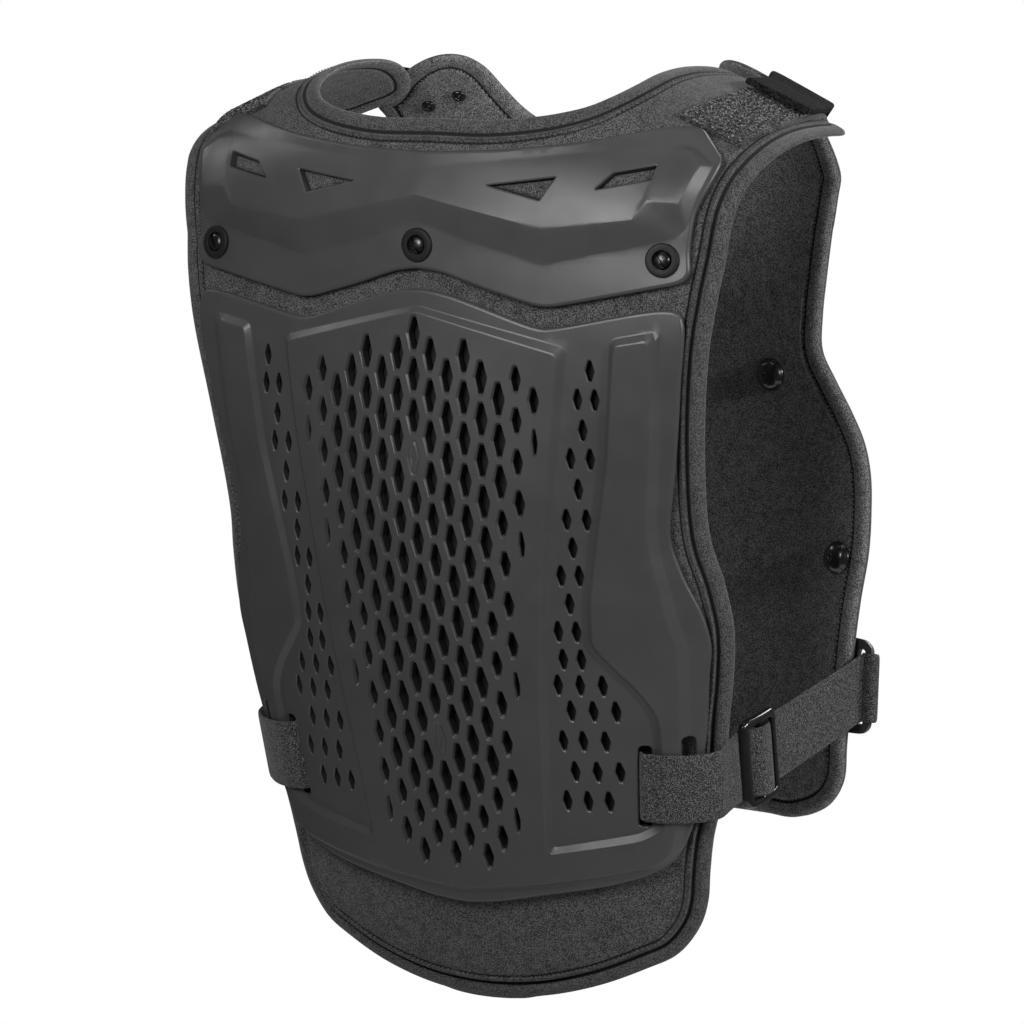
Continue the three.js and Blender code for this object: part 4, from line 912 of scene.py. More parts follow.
def moulded(name, finishes, place, edge, low, top, rise=None, slopes=(), holes=(), extra=(), grid=GRID,
            angle=PLATE_ANGLE, flipped=False, replacing=True):
    """A moulded sheet: its edge and holes are cut, its slopes raised, and it is bent onto the form.
    Each hole is a loop, the foot of the bevel round it and the depth of that bevel. Each extra line says
    whether it is closed and how deep it is cut. A second finish is for the walls of the holes."""
    rim = leftwards(edge)
    borders = [rim] + [opening for opening, _, _ in holes]
    lines = [(shifted(rim, inset), True) for inset in ROUNDED_EDGE["inset"][1:]]
    lines += [(foot, True) for _, foot, _ in holes]
    lines += [(loop, True) for loop in slopes]
    lines += [(line, closed) for line, closed, _ in extra]
    points = filling(rim, grid, EDGE_CLEAR)
    for _, foot, _ in holes:
        middle = foot.mean(0)
        near = np.abs(points - middle).max(1) < np.abs(foot - middle).max() + grid
        close = np.zeros(len(points), bool)
        close[near] = holds(points[near], foot) | (reach_to(points[near], foot) < grid * 0.25)
        points = points[~close]
    flat, triangles = plan(borders, lines, points)
    lift = top + (rise(flat) if rise else np.zeros(len(flat)))
    lift = lift - np.interp(reach_to(flat, rim), ROUNDED_EDGE["inset"], ROUNDED_EDGE["fall"])
    for line, closed, cut in [(opening, True, deep) for opening, _, deep in holes] + list(extra):
        middle = line.mean(0)
        near = np.flatnonzero(np.abs(flat - middle).max(1) < np.abs(line - middle).max() + 1)
        lift[near[reach_to(flat[near], line, closed) < ON_LINE]] -= cut
    places, faces = shell(flat, triangles, place(flat, lift), place(flat, np.full(len(flat), low)), flipped)
    chosen = np.zeros(len(faces))
    # The walls of the holes take the second finish where one is given; for the chest plate it is painted shade.
    if len(finishes) > 1:
        walls = slice(2 * len(triangles), None)
        chosen[walls] = reach_to(flat[[min(face) for face in faces[walls]]], rim) > 0.5
    mesh_piece(name, places, faces, finishes, 0.01, chosen, angle, replacing)


plastic = Finish("moulded_plastic")
plastic.set(Base_Color=plastic.mottled(0.042, 0.048, 30, 3), Specular_IOR_Level=0.4)
plastic.set(Roughness=plastic.mottled(0.34, 0.42, 60))
plastic.bump(plastic.noise(2600, 2, 0.6), 0.04)
# Painted shade: the vents' walls are the plate's own plastic, painted near black as the shade inside the holes.
vent_wall_shade = Finish("vent_wall_shade")
vent_wall_shade.set(Base_Color=vent_wall_shade.mottled(0.004, 0.008, 60), Roughness=0.8)

plate_edge = through(both(PLATE_EDGE), 4.5)
raised = slope_loops(RAISED_FOOT, RAISED_BROW, 4, 6)
vents = []
engraved = []
for x, z, width, height, filled in lattice():
    tip = HOLE_TIP * min(width / HOLE_WIDTH, 1)
    opening, recess, inside = (vent(x, z, width, height, tip, grow) for grow in (0, VENT_BEVEL, -1))
    if filled:
        ring = circle(RING_RADIUS, 12) + (x, z)
        engraved += [(recess, True, 0), (opening, True, ENGRAVED), (inside, True, 0), (ring, True, ENGRAVED)]
    else:
        vents.append((opening, recess, VENT_DEPTH))
for z, places in SIDE_VENTS:
    for x in places:
        for side in (-1, 1):
            shape = (side * x, z, SIDE_HOLE_WIDTH, SIDE_HOLE_HEIGHT, SIDE_VENT_TIP)
            vents.append((vent(*shape), vent(*shape, SIDE_VENT_BEVEL), SIDE_VENT_DEPTH))
for x, z, lean, length in PLATE_SLOTS:
    for side in (-1, 1):
        slot = (side * x, z, side * lean, SLOT_WIDTH, length)
        vents.append(bevelled_slot(*slot, SLOT_BEVEL, SLOT_BEVEL_DEPTH))
moulded("chest_plate", [plastic, vent_wall_shade], on_front, plate_edge, FIT, PLATE_TOP,
        lambda flat: FIELD_RISE * rise_within(flat, raised), raised, vents, engraved)

# Painted shade: where the plate's vents show the panel, its faces take the dark groove finish, so that the
# holes look near black.
painted_shade_under_plate = shifted(leftwards(plate_edge), UNDER_PLATE)
middles = np.array([tuple(face.center) for face in front_fabric.data.polygons])[:, [0, 2]] / MM
for face, in_painted_shade in zip(front_fabric.data.polygons, holds(middles, painted_shade_under_plate)):
    if in_painted_shade and face.material_index == OUTSIDE:
        face.material_index = GROOVE_SHADE

# Yoke. A second moulded sheet across the top of the chest, rimmed all round, with a faceted block that
# swells out over the collar bones. Three slotted screws hold it through the panel.
YOKE_WALL = 3.4
YOKE_TOP = FIT + YOKE_WALL
YOKE_EDGE = [
    (0, -25.5), (43, -24), (84, -20), (126.4, -12.9), (137, -13.5), (141, -15), (156, -29), (155, -36),
    (148, -54), (146, -74), (147.4, -84), (145, -88.5), (140, -90.5), (80, -102.4), (73, -103.4), (66, -102.8),
    (37.4, -94.9), (14, -87.2), (0, -85.4),
]
CREASE_SPREAD = 1.1
CREASE_SOFTNESS = 0.9
# Corners of the block's facets: half width, height and rise above the sheet.
BAND_MIDDLE = (0, -33.5, 0)
BAND_END = (134, -21.8, 0)
CORNER_LOW = (142, -24.3, 0)
SIDE_LOW = (152.5, -32.2, 0)
SIDE_END = (144, -62, 0)
SCREW_SIDE = (139.5, -66, 0)
KEEL_LOW = (70, -81.8, 0)
MIDDLE_LOW = (0, -61, 0)
CREASE_TOP = (130.6, -25, 0.9)
CORNER_HIGH = (138.6, -26.3, 2.2)
SIDE_HIGH = (146.7, -33.4, 4.4)
WING_TIP = (140.8, -50, 5.2)
WING_HEEL = (124.5, -49.3, 5.4)
CREASE_END = (118, -57.6, 5.4)
KEEL_HIGH = (71, -62.5, 5.4)
MIDDLE_HIGH = (0, -47.5, 3.8)
YOKE_FACETS = [
    (BAND_MIDDLE, BAND_END, CREASE_TOP, CREASE_END, KEEL_HIGH, MIDDLE_HIGH),
    (CREASE_TOP, CORNER_HIGH, SIDE_HIGH, WING_TIP, WING_HEEL, CREASE_END),
    (BAND_END, CORNER_LOW, CORNER_HIGH, CREASE_TOP),
    (CORNER_LOW, SIDE_LOW, SIDE_HIGH, CORNER_HIGH),
    (SIDE_LOW, SIDE_END, WING_TIP, SIDE_HIGH),
    (WING_HEEL, WING_TIP, SIDE_END, SCREW_SIDE),
    (CREASE_END, WING_HEEL, SCREW_SIDE, KEEL_LOW, KEEL_HIGH),
    (MIDDLE_HIGH, KEEL_HIGH, KEEL_LOW, MIDDLE_LOW),
]
YOKE_WINDOWS = [
    [(105, -35.5), (126, -32), (125, -39), (97, -43.5)],
    [(39, -42), (76, -37.5), (69, -49)],
]


def facet_rise(flat):
    """The rise of the faceted block, which is the same on both hands."""
    spot = np.abs(flat * (1, 0)) + flat * (0, 1)
    rise = np.zeros(len(flat))
    for facet in YOKE_FACETS:
        a, *rest = np.array(facet, float)
        for b, c in zip(rest, rest[1:]):
            base = np.array([b[:2] - a[:2], c[:2] - a[:2]]).T
            if abs(np.linalg.det(base)) < 1e-6:
                continue
            share = np.linalg.solve(base, (spot - a[:2]).T)
            inside = (share.min(0) > -1e-6) & (share.sum(0) < 1 + 1e-6)
            height = a[2] + share[0] * (b[2] - a[2]) + share[1] * (c[2] - a[2])
            rise = np.where(inside, np.maximum(rise, height), rise)
    return rise


def softened_rise(flat):
    """The block's rise, averaged over a small disc so that its creases are rounded."""
    total = facet_rise(flat) * 2
    around = circle(CREASE_SOFTNESS, 8)
    for shift in around:
        total += facet_rise(flat + shift)
    return total / (len(around) + 2)


def crease_lines(step):
    """The creases of both halves, cut into steps."""
    seen = {}
    for facet in YOKE_FACETS:
        for a, b in zip(facet, facet[1:] + facet[:1]):
            if a[0] or b[0]:
                seen[tuple(sorted((a[:2], b[:2])))] = (np.array(a[:2], float), np.array(b[:2], float))
    lines = []
    for a, b in seen.values():
        along = np.linspace(a, b, max(int(np.linalg.norm(b - a) / step), 1) + 1)
        aside = unit(np.array([[a[1] - b[1], b[0] - a[0]]]))
        for offset in (-1, 0, 1):
            line = along + aside * offset * CREASE_SPREAD
            line = line[line[:, 0] >= 0]
            if len(line) > 1:
                lines += [(line, False, 0), (line * (-1, 1), False, 0)]
    return lines


windows = []
for corners in YOKE_WINDOWS:
    for loop in (np.array(corners, float), mirror(corners)):
        opening = leftwards(rounded(loop, 1.0, 4))
        windows.append((opening, shifted(opening, -0.7), 0.5))
moulded("chest_yoke", [plastic], on_front, rounded(both(YOKE_EDGE), 4, 4), FIT, YOKE_TOP,
        softened_rise, holes=windows, extra=crease_lines(4), grid=5)

# Window fabric. The panel's knit stands up through the four windows of the yoke, pushed out by the foam
# behind it, and stops just short of their edges.
WINDOW_SWELL = 4.4
WINDOW_ROOT = 0.3
WINDOW_CLEAR = 0.5
for number, (opening, _, _) in enumerate(windows, 1):
    moulded(f"window_fabric_{number}", [panel_knit], on_front, shifted(opening, WINDOW_CLEAR),
            WINDOW_ROOT, WINDOW_SWELL, grid=3, angle=math.radians(60), replacing=False)

# Yoke screws. Each is a blackened metal screw with a slotted, slightly domed head. It sits in a round
# washer of black plastic, which spreads its pull over the yoke.
SCREW_PLACES = {"left": (133, -78), "middle": (0, -73), "right": (-133, -78)}
SCREW_WIDTH = 10
SCREW_DOME = 1.3
SCREW_LIFT = 1.7
DRIVER_HALF = (4.3, 1)
DRIVER_DEPTH = 1.7
DRIVER_DRAFT = 0.14
DRIVER_TURN = math.radians(122)
ROUND_SIDES = 56
WASHER_PROFILE = [
    (5.2, 0.2), (5.2, 1.7), (5.4, 1.9), (6.4, 2.0), (8.1, 1.95), (8.6, 1.75), (8.9, 1.3), (9.0, -0.1),
    (7, -0.1), (5.3, -0.1),
]


def seat(place, x, z, lift, inward=False):
    """Places points, given along three axes, on a spot of the form: rightwards, upwards and outwards."""
    spot = np.array([[x, z]], float)
    foot, tip = place(spot, np.array([lift])), place(spot, np.array([lift + 1.0]))
    out = unit(tip - foot)[0]
    aside = unit(np.cross([0, 0, 1], out))
    aside = aside * np.sign(aside[0]) * (1 if place is on_front else -1)
    if inward:
        out, aside = -out, -aside
    above = np.cross(out, aside)

    def to_place(flat, height):
        height = np.asarray(height, float)[:, None]
        return foot[0] + flat[:, :1] * aside + flat[:, 1:2] * above + height * out

    return to_place


def turned(name, finish, where, profile):
    """A round piece, turned from pairs of a radius and a height that end where they start."""
    radius, height = np.array(profile, float).T
    count = len(radius)
    points, faces = [], []
    for angle in np.linspace(0, 2 * math.pi, ROUND_SIDES, False):
        flat = np.stack([radius * math.cos(angle), radius * math.sin(angle)], -1)
        points.append(where(flat, height))
    for i in range(ROUND_SIDES):
        j = (i + 1) % ROUND_SIDES
        for k in range(count):
            m = (k + 1) % count
            faces.append((i * count + k, j * count + k, j * count + m, i * count + m))
    mesh_piece(name, np.concatenate(points), faces, [finish], 0.002)


def oblong(left, low, right, high):
    return [(left, low), (right, low), (right, high), (left, high)]


washer_plastic = Finish("washer_plastic")
washer_plastic.set(Base_Color=(0.01, 0.01, 0.0105, 1), Specular_IOR_Level=0.15)
washer_plastic.set(Roughness=washer_plastic.mottled(0.45, 0.55, 90, 3))
washer_plastic.bump(washer_plastic.noise(2400), 0.03)
metal = Finish("dark_metal")
metal.set(Base_Color=metal.mottled(0.015, 0.06, 500, 4, 0.7), Metallic=0.9)
metal.set(Roughness=metal.mottled(0.22, 0.38, 220, 3))
metal.bump(metal.noise(1600, 3), 0.03)


def screw_head(flat):
    """The height of a slotted screw's domed head above its foot."""
    radius = np.hypot(*flat.T)
    dome = SCREW_DOME * (1 - (radius / (SCREW_WIDTH / 2)) ** 2)
    return dome - DRIVER_DEPTH * (holds(flat, driver_floor) | (reach_to(flat, driver_floor) < 0.01))


def turned_loop(loop, angle):
    """The loop turned round its middle."""
    turn = np.array([[math.cos(angle), math.sin(angle)], [-math.sin(angle), math.cos(angle)]])
    return loop @ turn


driver_long, driver_wide = DRIVER_HALF
driver_corners = oblong(-driver_long, -driver_wide, driver_long, driver_wide)
driver_mouth = turned_loop(rounded(driver_corners, 0.5, 1.2), DRIVER_TURN)
driver_floor = shifted(leftwards(driver_mouth), DRIVER_DRAFT)
driver_lines = [(driver_mouth, True, 0), (driver_floor, True, 0)]
for side, (x, z) in SCREW_PLACES.items():
    on_yoke = seat(on_front, x, z, YOKE_TOP)
    turned(f"yoke_washer_{side}", washer_plastic, on_yoke, WASHER_PROFILE)
    moulded(f"yoke_screw_{side}", [metal], on_yoke, circle(SCREW_WIDTH / 2, 40), 0.0, SCREW_LIFT,
            screw_head, extra=driver_lines, grid=1.1, angle=math.radians(30))

# Back plate. It isn't seen in the photograph, so it is a plain moulded sheet in the manner of the chest
# plate, with a raised field. A lug at each side takes the side strap.
BACK_FACE = 2 * FIT + PANEL_WALL
BACK_WALL = 3.4
BACK_TOP = BACK_FACE + BACK_WALL
BACK_RISE = 3
LUG_X = 154.3
LUG_Z = -321
LUG_SLOT = (5.4, 42)
BACK_VENT = (5, 20)
BACK_VENT_ROWS = (-130, -160, -190, -220, -250)
BACK_EDGE = [
    (0, -52), (59, -46), (92, -55), (99.1, -82), (94.4, -136), (113.3, -184), (118, -226), (115.5, -286),
    (119, -292.5), (157, -295), (161.5, -299), (161.5, -343), (157, -347), (96, -350), (86, -339.5), (0, -346),
]
BACK_FOOT = [
    (0, -73), (47.2, -67), (73.6, -78), (79.3, -105), (75.5, -145), (90.6, -188), (94.4, -224), (91.5, -289),
    (75.5, -318), (0, -325),
]
BACK_BROW = [
    (0, -78), (45, -72), (69, -82), (74, -106), (70, -146), (85, -190), (88.5, -225), (86, -287), (72, -312.5),
    (0, -319),
]
back_field = slope_loops(BACK_FOOT, BACK_BROW, 8, 7)
back_holes = []
for side in (-1, 1):
    back_holes.append(bevelled_slot(side * LUG_X, LUG_Z, 0, *LUG_SLOT, 1, 0.5))
    for z in BACK_VENT_ROWS:
        x = side * (33 - (z - BACK_VENT_ROWS[2]) ** 2 / 900)
        back_holes.append(bevelled_slot(x, z, side * 5, *BACK_VENT, 2.4, 1.2))
moulded("back_plate", [plastic], on_back, rounded(both(BACK_EDGE), 7, 5), BACK_FACE, BACK_TOP,
        lambda flat: BACK_RISE * rise_within(flat, back_field), back_field, back_holes, flipped=True)

# Studs and eyelets. The back plate is held by snap studs whose glossy domes show on the inside of the
# back panel, and each shoulder tab by two small pressed eyelets.
STUD_PROFILE = [
    (0, -0.4), (8.6, -0.4), (9.1, 0.2), (9.1, 0.9), (8.8, 1.4), (8.5, 1.7), (8.1, 2.6), (7.1, 3.8), (5.6, 4.8),
    (3.6, 5.5), (1.9, 5.8), (1.5, 5.5), (1.2, 5.4), (0, 5.4),
]
EYELET_PROFILE = [
    (1.3, -0.4), (3.4, -0.4), (3.75, 0.1), (3.7, 0.7), (3.3, 1.2), (2.7, 1.4), (2.1, 1.2), (1.7, 0.6),
    (1.5, -0.2),
]
STUDS = {"upper": (92, -156), "lower": (142, -252)}
EYELETS = {"inner": (90, -7), "outer": (108, -13)}
SIDES = {"left": 1, "right": -1}
gloss = Finish("gloss_fitting")
gloss.set(Base_Color=(0.006, 0.006, 0.0065, 1), Coat_Weight=0.4, Coat_Roughness=0.12)
gloss.set(Roughness=gloss.mottled(0.16, 0.28, 90, 3), Specular_IOR_Level=0.55)
for side, sign in SIDES.items():
    for level, (x, z) in STUDS.items():
        inside = seat(on_back, sign * x, z, FIT, True)
        turned(f"back_stud_{level}_{side}", gloss, inside, STUD_PROFILE)
    for level, (x, z) in EYELETS.items():
        inside = seat(on_back, sign * x, z, FIT, True)
        turned(f"tab_rivet_{level}_{side}", metal, inside, EYELET_PROFILE)

# Shoulder fastening. A patch of loop pile is sewn to each shoulder of the front panel, and a tab of hook
# tape comes over from the back panel and presses down on it.
TAB_WIDTH = 36
PATCH_LIFT = 0.2
PATCH_WALL = 2
TAB_WALL = 3.6
PRESSED_TAB_WALL = 1.6
PRESSED_TAB_WIDTH = 34
# The right tab is pressed down and shorter, and goes without the first rows of the table below.
PRESSED_TAB_ROWS = 2
ON_BACK = FIT + PANEL_WALL + 0.4
ON_PATCH = PATCH_LIFT + PATCH_WALL
PAST_END = 300
PATCH_STITCH = (2.6, 1.9, 0.6)
PATCH_STITCH_INSET = 1.4
LOOPS_PER_SQUARE_METRE = 1.1e6
LOOP_RADIUS = 0.55
LOOP_SIZES = (0.7, 1.35)
LOOP_TILT = 0.7
YARN_SHARE = 0.24
PATCH_ROWS = table("x station slant", [
    (142, 0.272, -0.024), (143.5, 0.305, -0.018), (146.5, 0.35, -0.01), (149.5, 0.41, 0), (149, 0.47, 0),
    (146, 0.53, 0), (142, 0.59, 0.01), (139, 0.63, 0.02),
])
TAB_ROWS = table("x station slant rise", [
    (148, 0.487, 0, 0.35), (146, 0.52, 0, 0.1), (143.5, 0.56, 0, 0.02), (140, 0.6, 0.01, 0),
    (137, 0.635, 0.02, 0.08), (133, 0.665, 0.035, 0.5), (128, 0.695, 0.04, 1), (122, 0.735, 0.03, 1),
    (114, 0.785, 0.015, 1), (107, 0.835, 0, 1),
])


class Strip:
    """A band over the form, with places on it given along and across its middle line."""

    def __init__(self, rows, sign):
        self.rows, self.sign = rows, sign
        middle = lifted(rows["x"], rows["station"], 0)
        self.along = np.concatenate([[0], np.cumsum(np.linalg.norm(np.diff(middle, axis=0), axis=1))])
        self.length = self.along[-1]

    def soft(self, column, along):
        """A column read along the strip, averaged over a short length so that it bends smoothly."""
        shifts = (-5, -2.5, 0, 2.5, 5)
        return sum(np.interp(along + shift, self.along, self.rows[column]) for shift in shifts) / len(shifts)

    def __call__(self, flat, lift):
        along, across = np.clip(flat[:, 0], 0, self.length), flat[:, 1] / TAB_WIDTH
        x = self.soft("x", along) + across * TAB_WIDTH
        station = self.soft("station", along) + across * self.soft("slant", along)
        station = station + (flat[:, 0] - along) / PAST_END
        rise = self.soft("rise", along) if "rise" in self.rows else 0
        return lifted(x, station, np.asarray(lift, float) + rise) * (self.sign, 1, 1)


def sheet_plan(length, width, radius, step, inset=0.0):
    reach = width / 2 - inset
    corners = oblong(inset, -reach, length - inset, reach)
    return leftwards(rounded(corners, max(radius - inset, 0.5), step))


def strip_piece(name, rows, sign, width, wall, base, finish, radius):
    strip = Strip(rows, sign)
    moulded(name, [finish], strip, sheet_plan(strip.length, width, radius, 2), base, base + wall, grid=3,
            angle=math.radians(50), flipped=sign > 0)
    return strip


def loop_pile(name, strip, seed):
    """Little upright loops of yarn, strewn over a patch."""
    outline = sheet_plan(strip.length, TAB_WIDTH, 2, 3, 2.2)
    flat, triangles = plan([outline], [], filling(outline, 4, 1.5))
    faces = triangles if strip.sign < 0 else triangles[:, ::-1]
    places = strip(flat, np.full(len(flat), ON_PATCH))
    ground = bpy.data.meshes.new(f"{name}_ground")
    ground.from_pydata([Vector(p) * MM for p in places], [], faces.tolist())
    nodes = Nodes(f"{name}_nodes", Density=LOOPS_PER_SQUARE_METRE, Radius=LOOP_RADIUS * MM, Yarn=YARN_SHARE,
                  Seed=seed)
    spots = nodes.add("GeometryNodeDistributePointsOnFaces", inputs={
        "Mesh": nodes.given("Geometry"), "Density": nodes.given("Density"), "Seed": nodes.given("Seed")})
    arc = nodes.add("GeometryNodeCurveArc", inputs={
        "Resolution": 6, "Radius": 1.0, "Start Angle": -0.5, "Sweep Angle": 4.1})
    section = nodes.add("GeometryNodeCurvePrimitiveCircle", inputs={
        "Resolution": 3, "Radius": nodes.given("Yarn")})
    yarn = nodes.add("GeometryNodeCurveToMesh", inputs={
        "Curve": arc.outputs["Curve"], "Profile Curve": section.outputs["Curve"], "Fill Caps": True})
    upright = nodes.add("GeometryNodeTransform", inputs={
        "Geometry": yarn.outputs[0], "Rotation": (math.pi / 2, 0, 0)})
    turns = nodes.add("FunctionNodeRandomValue", {"data_type": "FLOAT_VECTOR"}, {
        0: (-LOOP_TILT, -LOOP_TILT, 0), 1: (LOOP_TILT, LOOP_TILT, 6.28), "Seed": nodes.given("Seed")})
    tilted = nodes.add("FunctionNodeRotateRotation", {"rotation_space": "LOCAL"}, {
        "Rotation": spots.outputs["Rotation"], "Rotate By": turns.outputs[0]})
    sizes = nodes.add("FunctionNodeRandomValue", {"data_type": "FLOAT"}, {
        2: LOOP_SIZES[0], 3: LOOP_SIZES[1], "Seed": nodes.given("Seed")})
    scale = nodes.add("ShaderNodeMath", {"operation": "MULTIPLY"}, {
        0: sizes.outputs[1], 1: nodes.given("Radius")})
    placed = nodes.add("GeometryNodeInstanceOnPoints", inputs={
        "Points": spots.outputs["Points"], "Instance": upright.outputs[0],
        "Rotation": tilted.outputs[0], "Scale": scale.outputs[0]})
    nodes.finish(placed.outputs[0], yarn_finish)
    nodes.applied(name, ground, yarn_finish)


pile = Finish("loop_pile")
fuzz = pile.noise(800, 3, 0.7)
pile.set(Base_Color=pile.shades(fuzz, [(0.46, 0.003), (0.56, 0.02), (0.64, 0.1)]))
pile.set(Roughness=1.0, Sheen_Weight=0.3)
pile.bump(fuzz, 0.9)
# The loop yarn is near black with random tone. Its rare bright specks are painted highlights on the loops.
yarn_finish = Finish("loop_yarn")
tone_and_glints = yarn_finish.noise(800, 2, 0.6)
yarn_finish.set(Base_Color=yarn_finish.shades(tone_and_glints, [(0.48, 0.004), (0.54, 0.02), (0.61, 0.32)]))
yarn_finish.set(Roughness=0.8)
tape = knit("hook_tape", 0.002, 0.02, 900, 0.5, 0.0)
tape.set(Specular_IOR_Level=0.1)
whole_tab = dict(TAB_ROWS, rise=TAB_ROWS["rise"] * (ON_BACK - ON_PATCH - 0.3))
pressed_tab = {name: column[PRESSED_TAB_ROWS:] for name, column in whole_tab.items()}
# The rows, width and wall of each side's tab, and the seed of its pile.
tabs = {
    "left": (whole_tab, TAB_WIDTH, TAB_WALL, 3),
    "right": (pressed_tab, PRESSED_TAB_WIDTH, PRESSED_TAB_WALL, 7),
}
for side, (rows, width, wall, seed) in tabs.items():
    sign = SIDES[side]
    patch = f"loop_patch_{side}"
    strip = strip_piece(patch, PATCH_ROWS, sign, TAB_WIDTH, PATCH_WALL, PATCH_LIFT, pile, 2)
    loop_pile(f"loop_pile_{side}", strip, seed)
    seam = sheet_plan(strip.length, TAB_WIDTH, 2, 3, PATCH_STITCH_INSET)
    seam = np.concatenate([seam, seam[:1]])
    stitched(f"{patch}_stitching", [strip(seam, np.full(len(seam), ON_PATCH))], PATCH_STITCH)
    strip_piece(f"shoulder_tab_{side}", rows, sign, width, wall, ON_PATCH + 0.1, tape, 4)

# Side straps. Elastic webbing comes out of the chest plate's slot, weaves through a slider with three
# bars, and goes back to the lug, where it turns round the bar and is sewn down.
WEB_WIDTH = 38
WEB_WALL = 1.8
WEB_SIDES = 21
STRAP_X = 103
LUG_REACH = 161.5
LUG_BAR = 4.5
BUCKLE_MIDDLE = np.array([145.5, -11, -348])
BUCKLE_LENGTH = 35
BUCKLE_BAR = 5
BUCKLE_RAIL = 4.5
BUCKLE_WALL = 3.4
BUCKLE_ARCH = 1.6
to_lug = on_back(np.array([[LUG_X, LUG_Z]], float), np.zeros(1))[0] - BUCKLE_MIDDLE
along_strap = unit(to_lug * (0.5, 1, 0.5))
out_of_strap = unit(np.cross(along_strap, [0, 0, 1]))
up_strap = np.cross(out_of_strap, along_strap)


def at_plate(x, lift):
    """The upper and the lower edge of the webbing where it lies over the chest plate."""
    lean, reach = SLOT_LEAN * WEB_WIDTH / SLOT_LENGTH / 2, WEB_WIDTH / 2
    ends = np.array([(x + lean, SLOT_Z + reach), (x - lean, SLOT_Z - reach)])
    return on_front(ends, np.full(2, lift)).ravel()


def at_buckle(along, rise):
    middle = BUCKLE_MIDDLE + along_strap * along + out_of_strap * rise
    return np.concatenate([middle + up_strap * WEB_WIDTH / 2, middle - up_strap * WEB_WIDTH / 2])


def at_lug(x, lift):
    ends = np.array([(x, LUG_Z + WEB_WIDTH / 2), (x, LUG_Z - WEB_WIDTH / 2)])
    return on_back(ends, np.full(2, lift)).ravel()


def band(name, route, sign):
    """Webbing along a route of pairs of places, one on each of its edges."""
    line = through(np.array(route), 1.6, False)
    upper, lower = line[:, :3], line[:, 3:]
    middle = (upper + lower) / 2
    ahead = unit(np.gradient(middle, axis=0))
    face = unit(np.cross(ahead, upper - lower))
    shares = np.sin(np.linspace(-1, 1, WEB_SIDES) * math.pi / 2)
    thick = WEB_WALL / 2 * (1 - np.abs(shares) ** 14) ** 0.5
    across = (upper + lower)[:, None] / 2 + (upper - lower)[:, None] / 2 * shares[None, :, None]
    outer = across + face[:, None] * thick[None, :, None]
    inner = across - face[:, None] * thick[None, :, None]
    loops = np.concatenate([outer, inner[:, ::-1]], 1)
    count = loops.shape[1]
    faces = []
    for i in range(len(loops) - 1):
        for k in range(count):
            m = (k + 1) % count
            faces.append((i * count + k, i * count + m, (i + 1) * count + m, (i + 1) * count + k))
    last = (len(loops) - 1) * count
    for k in range(count // 2 - 1):
        faces.append((k + 1, k, count - 1 - k, count - 2 - k))
        faces.append((last + k, last + k + 1, last + count - 2 - k, last + count - 1 - k))
    if sign > 0:
        faces = [face[::-1] for face in faces]
    places = loops.reshape(-1, 3) * (sign, 1, 1)
    mesh_piece(name, places, faces, [webbing], 0.01, angle=math.radians(60))


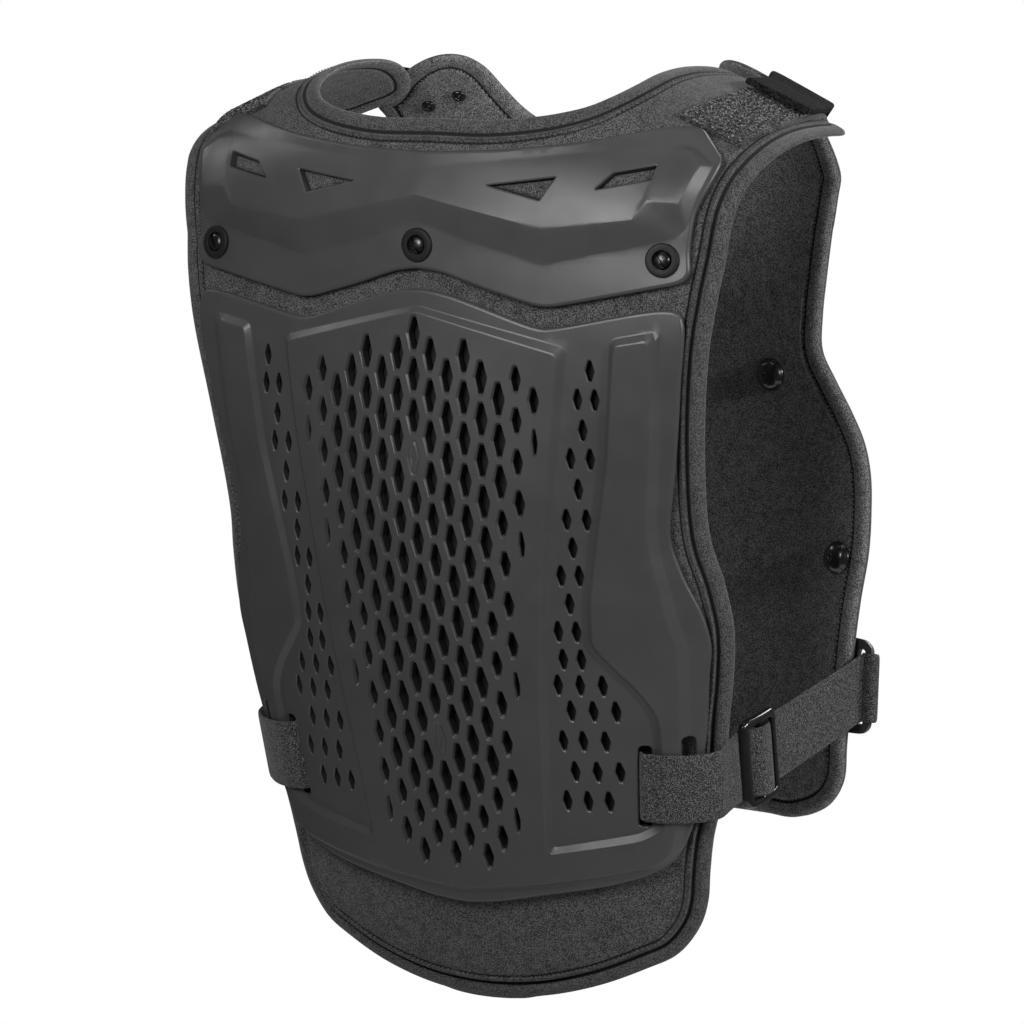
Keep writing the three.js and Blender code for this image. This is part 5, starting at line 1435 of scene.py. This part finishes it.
def strap_route():
    """Out of the plate's slot, through the slider, round the lug's bar and back in behind it."""
    on_plate = PLATE_TOP + 0.3 + WEB_WALL / 2
    weave = BUCKLE_WALL / 2 + WEB_WALL * 0.75
    bar_edge = BUCKLE_LENGTH / 2 - BUCKLE_BAR
    bar_inside, bar_outside = BACK_FACE - 0.3 - WEB_WALL / 2, BACK_TOP + 0.3 + WEB_WALL / 2
    past_bar = LUG_REACH + 0.6 + WEB_WALL / 2
    leaving = at_plate(136, on_plate + 1)
    coming = at_buckle(-BUCKLE_LENGTH / 2 - 3, -weave * 0.8)
    out = at_buckle(BUCKLE_LENGTH / 2 + 3, -weave * 0.8)
    bar = at_lug(LUG_REACH - LUG_BAR + 0.5, bar_inside)
    return [
        at_plate(STRAP_X - 1, FIT + 1.5), at_plate(STRAP_X - 0.6, PLATE_TOP - 1),
        at_plate(STRAP_X + 1.2, on_plate + 0.4), at_plate(STRAP_X + 4, on_plate + 1),
        at_plate(STRAP_X + 9, on_plate + FIELD_RISE), at_plate(STRAP_X + 14, on_plate + FIELD_RISE),
        at_plate(STRAP_X + 20, on_plate + FIELD_RISE - 0.3), at_plate(131, on_plate + 0.6),
        leaving * 0.8 + coming * 0.2, leaving * 0.4 + coming * 0.6, coming,
        at_buckle(-bar_edge - 1, -weave), at_buckle(-bar_edge + 3, 0), at_buckle(-4, weave + BUCKLE_ARCH),
        at_buckle(4, weave + BUCKLE_ARCH), at_buckle(bar_edge - 3, 0), at_buckle(bar_edge + 1, -weave), out,
        out * 0.6 + bar * 0.4, out * 0.25 + bar * 0.75, bar, at_lug(LUG_REACH, bar_inside),
        at_lug(past_bar, BACK_FACE), at_lug(past_bar, BACK_TOP), at_lug(LUG_REACH, bar_outside),
        at_lug(LUG_REACH - LUG_BAR, bar_outside), at_lug(LUG_X + 0.4, BACK_TOP), at_lug(LUG_X, BACK_FACE + 1),
    ]


def buckle_place(sign):
    """Places points of the slider's flat plan, slightly arched along the strap."""

    def place(flat, lift):
        arch = BUCKLE_ARCH * (1 - (flat[:, 0] / (BUCKLE_LENGTH / 2)) ** 2)
        out = (np.asarray(lift, float) + arch)[:, None] * out_of_strap
        return (BUCKLE_MIDDLE + flat[:, :1] * along_strap + flat[:, 1:] * up_strap + out) * (sign, 1, 1)

    return place


webbing = Finish("elastic_webbing")
speckle = webbing.noise(1500, 2, 0.65)
webbing.set(Base_Color=webbing.shades(speckle, [(0.45, 0.003), (0.51, 0.012), (0.57, 0.11)]))
webbing.set(Roughness=0.95, Sheen_Weight=0.1)
webbing.bump(speckle, 0.35)
opening = WEB_WIDTH / 2 + 1
reach = opening + BUCKLE_RAIL
end, middle_bar = BUCKLE_LENGTH / 2, BUCKLE_BAR / 2
slider_edge = rounded(oblong(-end, -reach, end, reach), 6, 2)
panes = []
for near, far in ((BUCKLE_BAR - end, -middle_bar), (middle_bar, end - BUCKLE_BAR)):
    pane = leftwards(rounded(oblong(near, -opening, far, opening), 1.6, 2))
    panes.append((pane, shifted(pane, -0.7), 0.6))
for side, sign in SIDES.items():
    band(f"side_strap_{side}", strap_route(), sign)
    moulded(f"strap_slider_{side}", [gloss], buckle_place(sign), slider_edge, -BUCKLE_WALL / 2,
            BUCKLE_WALL / 2, holes=panes, grid=3, angle=math.radians(50), flipped=sign < 0)
